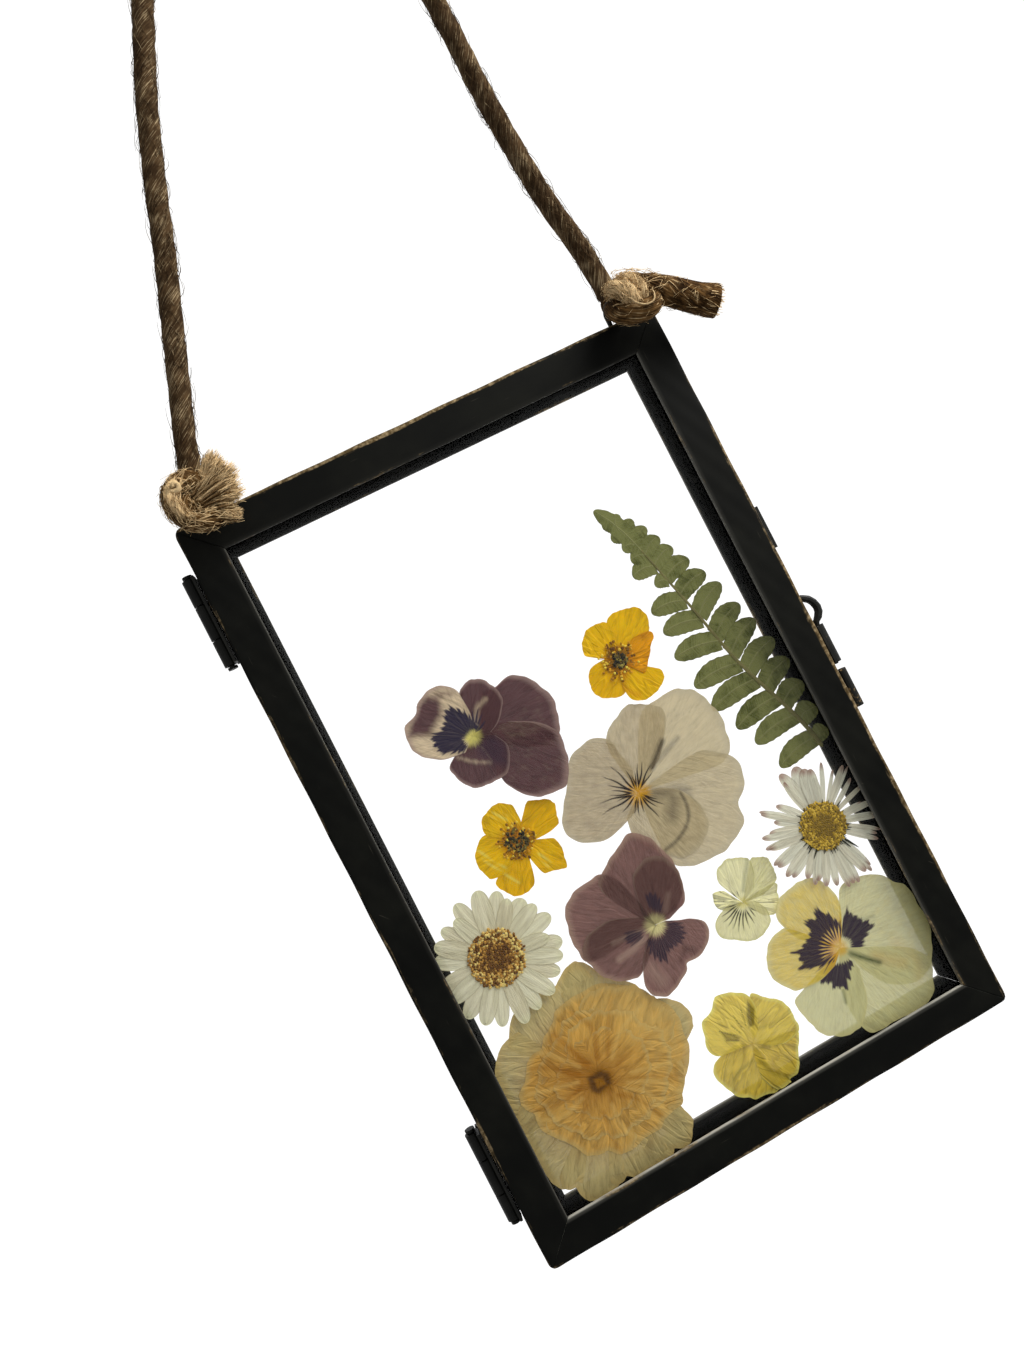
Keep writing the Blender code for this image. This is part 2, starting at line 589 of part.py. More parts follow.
def daisy(name, layer, centre, disc, width, reach, angles, longer):
    """A daisy: straps with round tips all round a raised disc. The outline is their furthest reach."""
    x, z = centre
    straps = [(math.radians(a), reach + longer.get(k, 0.0)) for k, a in enumerate(angles)]

    def reach_at(angle):
        best = disc + 0.8
        for towards, long in straps:
            off = math.atan2(math.sin(angle - towards), math.cos(angle - towards))
            if abs(off) < math.pi / 3:
                side = width / 2 / max(1e-6, abs(math.sin(off)))
                round_tip = long * (1 - 0.9 * (off * long / width) ** 4)
                best = max(best, min(side, long, round_tip))
        return best

    outline = []
    turns = sorted(a % math.tau for a, _ in straps)
    for a, b in zip(turns, [*turns[1:], turns[0] + math.tau]):
        for share in (0.0, 0.22, 0.4, 0.5, 0.6, 0.78):
            angle = a + (b - a) * share
            r = reach_at(angle)
            outline.append((x + r * math.cos(angle), z + r * math.sin(angle)))
    obj = pressed(name, layer, outline, petal_finish[name])
    round_disc(obj, layer, centre, disc, 24)
    return obj


def fern_tip(layer, rachis, stalk, left, right):
    """A fern tip in one outline: up the right side and down the left, round each leaflet in turn."""
    stem = [Vector(p) for p in rachis]

    def on_stem(place, side):
        k = min(int(place), len(stem) - 2)
        down = (stem[k + 1] - stem[k]).normalized()
        outwards = Vector((-down.y, down.x)) if side == "right" else Vector((down.y, -down.x))
        return stem[k].lerp(stem[k + 1], place - k) + outwards * stalk / 2, down

    def leaflet(tip, half, place, side):
        base, down = on_stem(place, side)
        along = Vector(tip) - base
        across = Vector((-along.y, along.x)).normalized()
        if across.dot(down) < 0:
            across = -across
        edge = [
            base + down * half * 0.8,
            base + along * 0.45 + across * half,
            base + along * 0.8 + across * half * 0.8,
            Vector(tip),
            base + along * 0.8 - across * half * 0.8,
            base + along * 0.45 - across * half,
            base - down * half * 0.8,
        ]
        return edge if side == "right" else edge[::-1]

    outline = [on_stem(len(stem) - 1.01, "right")[0]]
    for x, z, half, place in reversed(right):
        outline += leaflet((x, z), half, place, "right")
    outline += [on_stem(0.4, "right")[0], stem[0], on_stem(0.4, "left")[0]]
    for x, z, half, place in left:
        outline += leaflet((x, z), half, place, "left")
    outline.append(on_stem(len(stem) - 1.01, "left")[0])
    mesh = outline_mesh("fern_tip", [tuple(p) for p in outline], LAYER_Y[layer] + TOP_PETALS, BASE_PETALS)
    return add("fern_tip", mesh, leaf_green)


def hang_on(empty, objects):
    """Makes pieces move with an empty on their joint's axis."""
    for obj in objects:
        obj.parent = empty
        obj.matrix_parent_inverse = empty.matrix_world.inverted()


def joint_empty(name, x, y, z):
    empty = bpy.data.objects.new(name, None)
    empty.location = ORIGIN + Vector((x, y, z)) * MM
    parts.objects.link(empty)
    bpy.context.view_layer.update()
    return empty


clear_scene()
parts = collection("pressed flower frame")
helpers = collection("cutters and forms")

black_metal = material("antique black metal", (0.012, 0.012, 0.010), 0.45, 0.6)
glass = material("pane glass", (0.95, 0.97, 0.96), 0.02, 0.0, 0.15)
jute = material("jute", (0.30, 0.20, 0.11), 0.95)
leaf_green = material("fern green", (0.12, 0.15, 0.04), 0.8)
petal_finish = {
    name: material(name, colour, 0.8)
    for name, colour in {
        "viola_purple_cream": (0.12, 0.07, 0.08), "viola_white": (0.50, 0.46, 0.34),
        "viola_purple": (0.13, 0.06, 0.06), "viola_pale_small": (0.58, 0.58, 0.34),
        "pansy_pale": (0.55, 0.50, 0.22), "viola_yellow": (0.60, 0.50, 0.06),
        "buttercup_upper": (0.75, 0.42, 0.01), "buttercup_lower": (0.70, 0.42, 0.02),
        "ruffled_flower_tan": (0.48, 0.30, 0.08), "daisy_broad": (0.62, 0.60, 0.50),
        "daisy_narrow": (0.68, 0.65, 0.60),
    }.items()
}

corner_form = make_corner_form()
for rail_side in ("top", "right", "bottom", "left"):
    rail(f"front_{rail_side}_rail", rail_side, FRONT_FACE, False)
back_pieces = [rail(f"back_{rail_side}_rail", rail_side, BACK_FACE, True)
               for rail_side in ("top", "right", "bottom", "left")]

pane("front_glass", METAL + GLASS_PLAY)
back_pieces.append(pane("back_glass", DEPTH - METAL - GLASS_PLAY - GLASS))

for place, hinge_z in HINGE_Z.items():
    hinge_leaf(f"{place}_hinge_front_leaf", hinge_z, -1)
    back_pieces.append(hinge_leaf(f"{place}_hinge_back_leaf", hinge_z, 1))
    hinge_pin(f"{place}_hinge_pin", hinge_z)

latch_tube("latch_tube_front", *LATCH_TUBES["front"], -1)
back_pieces.append(latch_tube("latch_tube_back", *LATCH_TUBES["back"], 1))
back_pieces.append(thumb_tab())
hang_on(joint_empty("back_half_axis", *HINGE_AXIS, 0.0), back_pieces)
hang_on(joint_empty("latch_pin_axis", *LATCH_AXIS, 0.0), [latch_pin()])

for side_name, eyelet_x in EYELET_X.items():
    eyelet(f"{side_name}_eyelet", eyelet_x)
    knot(side_name)
rope()

for flower_name, shape in FLOWERS.items():
    flower(flower_name, **shape)
scalloped_flower(**SCALLOPED)
for flower_name, shape in DAISIES.items():
    daisy(flower_name, **shape)
fern_tip(**FERN)
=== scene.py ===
"""A small black hanging frame with pressed flowers between its panes, hung from a jute rope."""

import math

import bpy
import mathutils
import numpy as np
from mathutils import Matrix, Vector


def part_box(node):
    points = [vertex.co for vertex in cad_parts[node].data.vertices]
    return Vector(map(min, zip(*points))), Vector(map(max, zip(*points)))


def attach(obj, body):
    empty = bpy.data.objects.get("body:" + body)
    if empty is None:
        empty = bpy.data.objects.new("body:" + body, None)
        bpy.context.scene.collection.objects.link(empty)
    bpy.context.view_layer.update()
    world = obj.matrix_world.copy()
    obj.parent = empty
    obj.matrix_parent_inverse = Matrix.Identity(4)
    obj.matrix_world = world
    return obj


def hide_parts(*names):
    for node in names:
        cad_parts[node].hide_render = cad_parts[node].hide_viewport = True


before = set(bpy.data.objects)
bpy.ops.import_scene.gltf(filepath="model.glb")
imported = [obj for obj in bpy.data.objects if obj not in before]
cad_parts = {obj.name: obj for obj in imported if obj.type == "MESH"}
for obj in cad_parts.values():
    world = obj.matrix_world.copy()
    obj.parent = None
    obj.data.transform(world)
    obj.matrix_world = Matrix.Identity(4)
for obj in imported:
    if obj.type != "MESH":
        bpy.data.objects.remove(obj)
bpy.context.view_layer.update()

# Camera. A phone's wide lens, held close in front of the frame, level with it and rolled clockwise.

MM = 0.001
front_low, front_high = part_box("front_top_rail")
side_low, side_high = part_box("front_left_rail")
MIDDLE = np.array(
    [(front_low.x + front_high.x) / 2, front_low.y, (side_low.z + side_high.z) / 2]
)


def in_row(points):
    """Metres in the row of points in mm from the middle of the frame's front (x right, y back, z up)."""
    return np.asarray(points, float) * MM + MIDDLE


CAMERA_AT = (-31.7, -188.5, 21.8)
HEADING, PITCH, ROLL = math.radians(7.30), math.radians(0.26), math.radians(-27.18)
FOCAL_HEIGHTS = 0.7516  # focal length over the picture's height

ahead = np.array([math.sin(HEADING) * math.cos(PITCH), math.cos(HEADING) * math.cos(PITCH),
    math.sin(PITCH)])
level = np.array([math.cos(HEADING), -math.sin(HEADING), 0.0])
upright = np.cross(level, ahead)
right = level * math.cos(ROLL) + upright * math.sin(ROLL)
up = np.cross(right, ahead)

lens = bpy.data.cameras.new("Camera")
lens.sensor_fit = "VERTICAL"
lens.sensor_height = 36.0
lens.lens = 36.0 * FOCAL_HEIGHTS
lens.clip_start = 0.01
camera = bpy.data.objects.new("Camera", lens)
bpy.context.scene.collection.objects.link(camera)
rows = np.column_stack([right, up, -ahead, in_row(CAMERA_AT)])
camera.matrix_world = mathutils.Matrix([*rows.tolist(), [0, 0, 0, 1]])
bpy.context.scene.camera = camera


# Rope. One length of soft jute, about 4 mm thick: twisted yarns with loose fibres. It goes from
# knot to knot over a hook above the frame.

class Socket:
    """A shader socket that takes part in sums: each operator adds a Math node."""

    def __init__(self, finish, socket):
        self.finish, self.socket = finish, socket

    def math(self, operation, *values):
        """A Math node with the given operation, on sockets or numbers."""
        return self.finish.node("ShaderNodeMath", {"operation": operation}, dict(enumerate(values)))

    def __add__(self, other):
        return self.math("ADD", self, other)

    def __sub__(self, other):
        return self.math("SUBTRACT", self, other)

    def __rsub__(self, other):
        return self.math("SUBTRACT", other, self)

    def __mul__(self, other):
        return self.math("MULTIPLY", self, other)

    __radd__, __rmul__ = __add__, __mul__

    def above(self, low, high):
        """0 below low, 1 above high and a smooth step between them."""
        return self.finish.node(
            "ShaderNodeMapRange", {"interpolation_type": "SMOOTHSTEP"},
            {"Value": self, "From Min": low, "From Max": high},
        )


class Finish:
    """A material. node() adds any node: its type, its settings, and the values or links of its sockets."""

    def __init__(self, name, **constants):
        self.material = bpy.data.materials.new(name)
        self.material.use_nodes = True
        self.tree = self.material.node_tree
        self.shader = self.tree.nodes["Principled BSDF"]
        self.set(self.shader, {key.replace("_", " "): value for key, value in constants.items()})

    def set(self, node, inputs):
        """Links or sets a node's inputs; a colour of three numbers gets full opacity."""
        for key, value in inputs.items():
            socket = node.inputs[key]
            if isinstance(value, Socket):
                self.tree.links.new(value.socket, socket)
            elif socket.type == "RGBA" and len(value) == 3:
                socket.default_value = (*value, 1.0)
            else:
                socket.default_value = value

    def node(self, kind, settings=None, inputs=None, out=0):
        made = self.tree.nodes.new(kind)
        for key, value in (settings or {}).items():
            setattr(made, key, value)
        self.set(made, inputs or {})
        return Socket(self, made.outputs[out])

    def attribute(self, name):
        """The three numbers of a vertex attribute, as sockets."""
        vector = self.node("ShaderNodeAttribute", {"attribute_name": name}, out="Vector")
        return [self.node("ShaderNodeSeparateXYZ", None, {"Vector": vector}, out=k) for k in range(3)]

    def place(self):
        """The point itself, in metres."""
        return self.node("ShaderNodeTexCoord", out="Object")

    def noise(self, vector, scale, detail=3.0, roughness=0.55):
        """Cloudy noise between 0 and 1, with scale waves to each unit of the vector."""
        return self.node(
            "ShaderNodeTexNoise", None,
            {"Vector": vector, "Scale": scale, "Detail": detail, "Roughness": roughness},
        )

    def vector(self, x, y, z):
        """A vector of three sockets or numbers."""
        return self.node("ShaderNodeCombineXYZ", None, {"X": x, "Y": y, "Z": z})

    def mix(self, share, a, b):
        """The colour a, turning into b as share goes from 0 to 1."""
        return self.node("ShaderNodeMix", {"data_type": "RGBA"}, {0: share, 6: a, 7: b}, out=2)

    def times(self, share, a, tint):
        """The colour a, multiplied by the tint as share goes from 0 to 1."""
        settings = {"data_type": "RGBA", "blend_type": "MULTIPLY"}
        return self.node("ShaderNodeMix", settings, {0: share, 6: a, 7: tint}, out=2)

    def bump(self, height, distance, strength=1.0):
        """Relief: a height of 1 stands distance mm out of the surface."""
        self.set(self.shader, {"Normal": self.node(
            "ShaderNodeBump", None, {"Height": height, "Distance": distance * MM, "Strength": strength})})


def make_piece(name, points, faces, finish, body, slot, replaces=(), **attributes):
    """A mesh of mm points and faces, with its attributes, riding on a body."""
    mesh = bpy.data.meshes.new(name)
    mesh.from_pydata(in_row(points).tolist(), [], [list(map(int, f)) for f in faces])
    for key, values in attributes.items():
        layer = mesh.attributes.new(key, "FLOAT_VECTOR", "POINT")
        layer.data.foreach_set("vector", np.asarray(values, np.float32).ravel())
    mesh.polygons.foreach_set("use_smooth", [True] * len(mesh.polygons))
    mesh.materials.append(finish.material)
    mesh.update()
    piece = bpy.data.objects.new(name, mesh)
    bpy.context.scene.collection.objects.link(piece)
    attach(piece, body)
    if replaces:
        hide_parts(*replaces)
    return piece


def joined(*meshes):
    """Several (points, faces, attributes) as one, with the faces renumbered."""
    points, faces, attributes, start = [], [], {}, 0
    for p, f, a in meshes:
        points.append(p)
        faces.extend([[start + int(k) for k in face] for face in f])
        for key, values in a.items():
            attributes.setdefault(key, []).append(values)
        start += len(p)
    return np.concatenate(points), faces, {k: np.concatenate(v) for k, v in attributes.items()}


def smooth_path(points, step):
    """Points about one step apart on the Catmull-Rom curve through the given ones."""
    p = np.asarray(points, float)
    p = np.concatenate([[2 * p[0] - p[1]], p, [2 * p[-1] - p[-2]]])
    t = np.linspace(0, 1, 12, endpoint=False)[:, None]
    a, b, c, d = (p[k:len(p) - 3 + k, None] for k in range(4))
    fine = 0.5 * (2 * b + (c - a) * t + (2 * a - 5 * b + 4 * c - d) * t**2 + (3 * b - a - 3 * c + d) * t**3)
    fine = np.concatenate([fine.reshape(-1, p.shape[1]), p[-2:-1]])
    along = np.concatenate([[0], np.cumsum(np.linalg.norm(np.diff(fine, axis=0), axis=1))])
    goals = np.linspace(0, along[-1], max(2, round(along[-1] / step) + 1))
    return np.column_stack([np.interp(goals, along, axis) for axis in fine.T])


def quad_grid(n, m, closed=False):
    """The four-sided faces between n rows of m points; closed rows are rings."""
    i, j = np.meshgrid(np.arange(n - 1), np.arange(m if closed else m - 1), indexing="ij")
    k = (j + 1) % m
    return np.stack([i * m + j, i * m + k, (i + 1) * m + k, (i + 1) * m + j], -1).reshape(-1, 4)


def tube_faces(n, m):
    """The faces of a tube of n rings of m points, with a cap at each end."""
    return [*quad_grid(n, m, closed=True).tolist(), list(range(m))[::-1], list(range((n - 1) * m, n * m))]


def carried_frames(path):
    """Two directions across the path that are carried along it without turning."""
    tangents = np.gradient(path, axis=0)
    tangents /= np.linalg.norm(tangents, axis=1)[:, None]
    across = np.zeros_like(path)
    ref = np.cross(tangents[0], (0.3, 1.0, 0.2))
    for k, tangent in enumerate(tangents):
        ref = ref - tangent * (ref @ tangent)
        ref /= np.linalg.norm(ref)
        across[k] = ref
    return across, np.cross(tangents, across)


def rope_sweep(path, radius, sides=40, strands=3, lay=19.0, relief=0.08, round_ends=True):
    """A twisted rope: at each ring the radius dips between the strands, and the dips turn with the distance.

    radius may be one number or one for each ring. The vertex attribute lay holds the angle in turns, the
    distance in mm and the depth of the groove.
    """
    radius = np.broadcast_to(np.asarray(radius, float), len(path))
    along = np.concatenate([[0], np.cumsum(np.linalg.norm(np.diff(path, axis=0), axis=1))])
    u, v = carried_frames(path)
    angle = np.linspace(0, 2 * np.pi, sides, endpoint=False)
    turned = angle[None, :] - 2 * np.pi * along[:, None] / lay
    groove = np.abs(np.sin(turned * strands / 2)) ** 0.7
    ring = radius[:, None] * (1 - relief * (1 - groove))
    if round_ends:
        from_end = np.minimum(along, along[-1] - along)
        near = np.clip(from_end / (radius * 0.8), 0, 1)
        ring = ring * np.sqrt(np.clip(1 - (1 - near) ** 2, 0.0004, 1))[:, None]
    out = np.cos(angle)[None, :, None] * u[:, None] + np.sin(angle)[None, :, None] * v[:, None]
    points = (path[:, None] + ring[..., None] * out).reshape(-1, 3)
    lay_values = np.stack(
        [turned / (2 * np.pi), np.repeat(along[:, None], sides, 1), groove], -1
    ).reshape(-1, 3)
    return points, tube_faces(len(path), sides), {"lay": lay_values}


FIBRE_STEPS = 6


def hair_tubes(roots, tips, sag, radius):
    """Loose fibres: each is a thin three-sided tube on a bent line from its root to its tip.

    The bend is a parabola in the direction sag, which is greatest halfway.
    """
    t = np.linspace(0, 1, FIBRE_STEPS)[None, :, None]
    line = roots[:, None] * (1 - t) + tips[:, None] * t + sag[:, None] * 4 * t * (1 - t)
    along = np.gradient(line, axis=1)
    along /= np.linalg.norm(along, axis=2, keepdims=True) + 1e-9
    side = np.cross(along, np.array([0.31, 0.83, 0.46]))
    side /= np.linalg.norm(side, axis=2, keepdims=True) + 1e-9
    other = np.cross(along, side)
    angle = np.array([0, 2.094, 4.189])[None, None, :, None]
    thin = (radius * (1 - 0.6 * t))[..., None]
    points = line[:, :, None] + thin * (np.cos(angle) * side[:, :, None] + np.sin(angle) * other[:, :,
        None])
    n = len(roots)
    starts = np.arange(n)[:, None] * FIBRE_STEPS * 3
    faces = (starts[:, None] + quad_grid(FIBRE_STEPS, 3, closed=True)[None]).reshape(-1, 4)
    last_ring = starts + (FIBRE_STEPS - 1) * 3
    ends = np.concatenate([starts + np.array([[2, 1, 0]]), last_ring + np.array([[0, 1, 2]])])
    lay = np.zeros((n, FIBRE_STEPS, 3, 3))
    lay[..., 0] = np.linspace(0, 7, n)[:, None, None]
    lay[..., 1] = 4 * t[0][None]
    lay[..., 2] = 1.0
    return points.reshape(-1, 3), faces.tolist() + ends.tolist(), {"lay": lay.reshape(-1, 3)}


def jute_finish(name, dark, middle, pale):
    """Jute: fine fibres along the twist, painted shade in the grooves between the strands, with paler fibres lying on
    top.

    The vertex attribute tone makes a stretch paler, and is 0 where there is none.
    """
    finish = Finish(name, Roughness=0.92)
    finish.set(finish.shader, {"Specular IOR Level": 0.05})
    turn, along, groove = finish.attribute("lay")
    tone, _, _ = finish.attribute("tone")
    fibres = finish.noise(finish.vector(turn * 26, along * 0.35, groove), 1.0, 4.0, 0.7)
    patches = finish.noise(finish.place(), 260.0, 4.0, 0.65)
    strands = finish.noise(finish.vector(turn * 60, along * 0.3, 3.0), 1.0, 2.0)
    shade = (fibres * 0.75 + patches * 0.55 - 0.15 + tone * 0.20).above(0.32, 0.72)
    colour = finish.mix(shade, dark, middle)
    colour = finish.mix((strands + patches * 0.4 + tone * 0.28).above(0.72, 0.94) * 0.85, colour, pale)
    # Painted shade: towards the bottom of each groove between the strands the colour turns to half the dark one.
    colour = finish.mix((1 - groove).above(0.45, 1.0) * 0.35, colour, tuple(c * 0.5 for c in dark))
    finish.set(finish.shader, {"Base Color": colour})
    finish.bump(fibres + strands * 0.5, 0.35, 0.9)
    return finish


ROPE_RADIUS = 2.1
ROPE_Y = 4.6
ROPE_BACK = 7.1
ROPE_ROUTE = [
    (-43.4, 80.4), (-42.9, 83.6), (-40.7, 90.5), (-36.7, 101.4), (-32.5, 112.8), (-28.1, 124.7),
    (-25.0, 133.9),
    (-21.7, 143.0), (-18.7, 150.9), (-15.6, 158.1), (-10.3, 169.9), (-4.6, 182.4), (1.4, 195.0),
    (7.6, 207.0), (14.2, 217.6), (21.2, 225.2), (27.6, 227.9), (33.6, 224.8), (38.4, 215.0),
    (40.9, 201.0), (41.5, 186.0), (41.2, 170.0), (40.9, 155.0), (41.1, 139.5), (41.0, 130.7),
    (41.3, 121.6), (41.8, 112.3), (42.6, 103.1), (44.2, 92.9), (44.9, 83.6), (44.5, 80.4),
]
jute = jute_finish("jute", (0.026, 0.014, 0.006), (0.084, 0.050, 0.023), (0.38, 0.29, 0.17))

rope_line = smooth_path([(x, ROPE_Y, z) for x, z in ROPE_ROUTE], 0.45)
rope_points, rope_faces, rope_lay = rope_sweep(rope_line, ROPE_RADIUS)
rope = make_piece("jute_rope", rope_points, rope_faces, jute, "front_half", "jute", ["hanging_rope"],
    **rope_lay)

rng = np.random.default_rng(11)
FUZZ = 1300  # loose fibres on the rope
spots = rng.integers(6, len(rope_line) - 12, FUZZ)
turn_at = rng.uniform(0, 2 * np.pi, FUZZ)


def off_line(line, index, angle, distance):
    """Points off a line, by place along it, angle round it and distance, and the ways out to them."""
    u, v = carried_frames(line)
    out = np.cos(angle)[:, None] * u[index] + np.sin(angle)[:, None] * v[index]
    return line[index] + out * distance[:, None], out


fuzz_roots, fuzz_out = off_line(rope_line, spots, turn_at, ROPE_RADIUS + np.full(FUZZ, -0.25))
reach = rng.integers(4, 14, FUZZ) * rng.choice([-1, 1], FUZZ)
far_spots = np.clip(spots + reach, 0, len(rope_line) - 1)
far_turn = turn_at + rng.uniform(-1.3, 1.3, FUZZ)
fuzz_tips, _ = off_line(rope_line, far_spots, far_turn, ROPE_RADIUS + rng.uniform(-0.3, 0.9, FUZZ) ** 2)
points, faces, lay = hair_tubes(fuzz_roots, fuzz_tips, fuzz_out * rng.uniform(0.2, 0.7, (FUZZ, 1)), 0.07)
points[:, 1] = np.minimum(points[:, 1], ROPE_BACK)
fuzz = make_piece("rope_fibres", points, faces, jute, "front_half", "jute", **lay)


# Knots. Stopper knots in front of the top corners. The rope comes forward through the wire eyelet,
# turns over itself, and ends in a tail: frayed into a fan on the left, cut and half unravelled on
# the right.

LEFT_TURNS = [
    (-43.4, 4.5, 81.6), (-43.4, 4.4, 79.4), (-43.3, 2.4, 77.4), (-42.6, -0.6, 77.2), (-41.2, -3.0, 78.4),
    (-41.8, -4.8, 79.9), (-44.2, -5.6, 80.6), (-46.6, -5.8, 79.6), (-47.3, -5.6, 77.0), (-46.6, -5.8, 74.4),
    (-44.6, -6.0, 72.6), (-42.2, -5.8, 72.0), (-40.4, -4.6, 73.2),
]
LEFT_INNER = [(-44.4, -6.4, 80.8), (-46.2, -7.3, 79.7), (-46.9, -7.8, 77.4), (-46.5, -7.7, 75.2),
    (-45.6, -6.9, 73.3)]
LEFT_CURL = [
    (-45.4, -7.4, 80.4), (-46.3, -7.9, 79.6), (-46.0, -8.2, 78.7), (-45.0, -8.3, 78.6), (-44.7, -8.3, 79.4),
    (-45.3, -8.5, 79.9), (-45.6, -8.6, 79.3), (-45.3, -8.7, 79.2),
]
LEFT_CORE = [(-42.4, -0.8, 77.2), (-43.6, -3.0, 77.6), (-44.8, -4.6, 77.2), (-45.0, -5.2, 75.6),
    (-43.4, -5.0, 74.4)]
# A lock of the brush: where it starts, where its middle tip is, its spread, its tone and its share.
BRUSH_LOBES = [
    ((-42.8, -5.2, 77.2), (-36.2, -4.6, 82.9), 1.5, 0.85, 0.30),
    ((-43.0, -6.0, 76.4), (-34.5, -5.0, 79.4), 2.0, 0.50, 0.28),
    ((-43.2, -6.2, 75.2), (-34.9, -5.2, 75.4), 1.8, 0.10, 0.22),
    ((-43.4, -5.8, 73.8), (-37.2, -5.2, 71.2), 1.5, -0.10, 0.20),
]
RIGHT_BAND = [
    (45.0, 4.5, 81.6), (44.5, 4.4, 79.4), (44.2, 2.4, 77.4), (43.0, -0.6, 77.0), (41.6, -3.4, 76.2),
    (42.0, -6.0, 74.0), (44.6, -7.4, 72.8), (47.2, -6.8, 73.4), (48.7, -4.8, 75.6), (47.8, -2.8, 78.2),
]
RIGHT_FRONT = [(43.0, -2.6, 79.8), (42.8, -5.6, 79.2), (43.9, -7.7, 77.2), (44.2, -7.6, 74.6),
    (44.6, -5.6, 73.2)]
RIGHT_SECOND = [(45.4, -3.0, 80.4), (45.7, -6.0, 79.6), (46.3, -7.7, 77.4), (46.0, -7.6, 74.8),
    (45.6, -5.4, 73.4)]
RIGHT_TAIL = [
    (43.4, -4.2, 79.8), (45.8, -5.4, 79.2), (48.0, -5.6, 77.3), (50.4, -5.4, 75.6), (53.6, -5.0, 73.4),
    (56.6, -4.7, 71.3),
    (59.8, -4.4, 69.4),
]
CURLED_FIBRE = [
    (42.9, -9.3, 75.6), (43.5, -9.7, 74.0), (44.9, -9.9, 72.9), (46.6, -9.7, 73.0), (47.6, -9.1, 74.2),
    (47.9, -8.4, 75.4),
]


def toned(mesh, tone):
    """The mesh with a paleness between 0 and 1, one for all or one for each point."""
    points, faces, about = mesh
    values = np.zeros((len(points), 3))
    values[:, 0] = tone
    return points, faces, {**about, "tone": values}


def strand(route, radius, tone, **shape):
    """A stretch of rope on a smooth route whose radius changes evenly between the given ones."""
    line = smooth_path(route, 0.4)
    radii = np.interp(np.linspace(0, 1, len(line)), np.linspace(0, 1, len(radius)), radius)
    return toned(rope_sweep(line, radii, **shape), tone), line


def knot_fuzz(line, count, radius, seed, first=0):
    """Short fibres round a stretch of rope, standing off it by up to a millimetre."""
    rng = np.random.default_rng(seed)
    at = rng.integers(first, len(line), count)
    to = np.clip(at + rng.integers(-12, 13, count), 0, len(line) - 1)
    angle = rng.uniform(0, 2 * np.pi, count)
    turned = angle + rng.uniform(-1.4, 1.4, count)
    roots, out = off_line(line, at, angle, radius + np.full(count, -0.2))
    tips, _ = off_line(line, to, turned, radius + rng.uniform(-0.1, 0.7, count))
    hairs = hair_tubes(roots, tips, out * rng.uniform(0.1, 0.5, (count, 1)), 0.075)
    return toned(hairs, np.repeat(rng.uniform(0.3, 1.0, count), len(hairs[0]) // count))


rng = np.random.default_rng(5)
left_loop, left_line = strand(LEFT_TURNS, (2.0, 1.8, 1.7, 1.8, 1.5), -0.1, sides=40, lay=14.0, relief=0.12)
inner_strand, inner_line = strand(LEFT_INNER, (0.8, 1.0, 0.95, 0.85, 0.5), 0.9, sides=30, lay=9.0,
    relief=0.15)
curl, _ = strand(LEFT_CURL, (0.42, 0.5, 0.55, 0.5, 0.45), 0.9, sides=16, lay=4.0, relief=0.2)
core, core_line = strand(LEFT_CORE, (1.4, 1.7, 1.8, 1.7, 1.2), -0.2, sides=32, lay=14.0, relief=0.12)
left_parts = [left_loop, inner_strand, curl, core, knot_fuzz(core_line, 260, 1.7, 13)]
LOCKS, FRAY = 240, 1300
for start, end, spread, tone, share in BRUSH_LOBES:
    start, end = np.array(start), np.array(end)
    reach = (end - start) / np.linalg.norm(end - start)
    aside = np.array([reach[2], 0, -reach[0]])
    for _ in range(int(LOCKS * share)):
        off, depth, length = rng.uniform(-1, 1), rng.normal(0, 0.7), rng.uniform(0.72, 1.0)
        root = start + aside * off * 0.7 + rng.normal(0, 0.3, 3)
        tip = start + (end - start) * (length - 0.12 * off**2) + aside * off * spread + (0, depth, 0)
        middle = (root + tip) / 2 + rng.normal(0, 0.16, 3) - (0, 0.4 - 0.2 * abs(depth), 0)
        line = smooth_path([root, middle, tip], 0.45)
        t = np.linspace(0, 1, len(line))
        lock = rope_sweep(line, rng.uniform(0.14, 0.34) * (0.9 + 0.5 * t - 1.1 * t**4), sides=8, strands=3,
            lay=45.0, relief=0.3)
        left_parts.append(toned(lock, np.clip(np.repeat(tone + 0.4 * t - 0.25 + rng.normal(0, 0.25), 8), 0,
            1)))
    count = int(FRAY * share)
    off, length = rng.uniform(-1.08, 1.08, (count, 1)), rng.uniform(0.75, 1.04, (count, 1))
    tips = start + (end - start) * (length - 0.12 * off**2) + aside * off * spread + rng.normal(0,
        (0.2, 0.9, 0.2), (count, 3))
    roots = start + (tips - start) * rng.uniform(0.3, 0.8, (count, 1)) + rng.normal(0, 0.3, (count, 3))
    fray = hair_tubes(roots, tips, rng.normal(0, 0.25, (count, 3)), 0.065)
    left_parts.append(toned(fray, np.repeat(rng.uniform(0.35, 1.0, count), len(fray[0]) // count)))
left_parts.append(knot_fuzz(left_line, 420, 1.9, 6, first=24))
left_parts.append(knot_fuzz(inner_line, 260, 0.9, 8))
knot_jute = jute_finish("jute_knot", (0.016, 0.007, 0.002), (0.205, 0.108, 0.036), (0.84, 0.62, 0.34))
points, faces, about = joined(*left_parts)
left_knot = make_piece("left_rope_knot", points, faces, knot_jute, "front_half", "jute", ["left_knot"],
    **about)

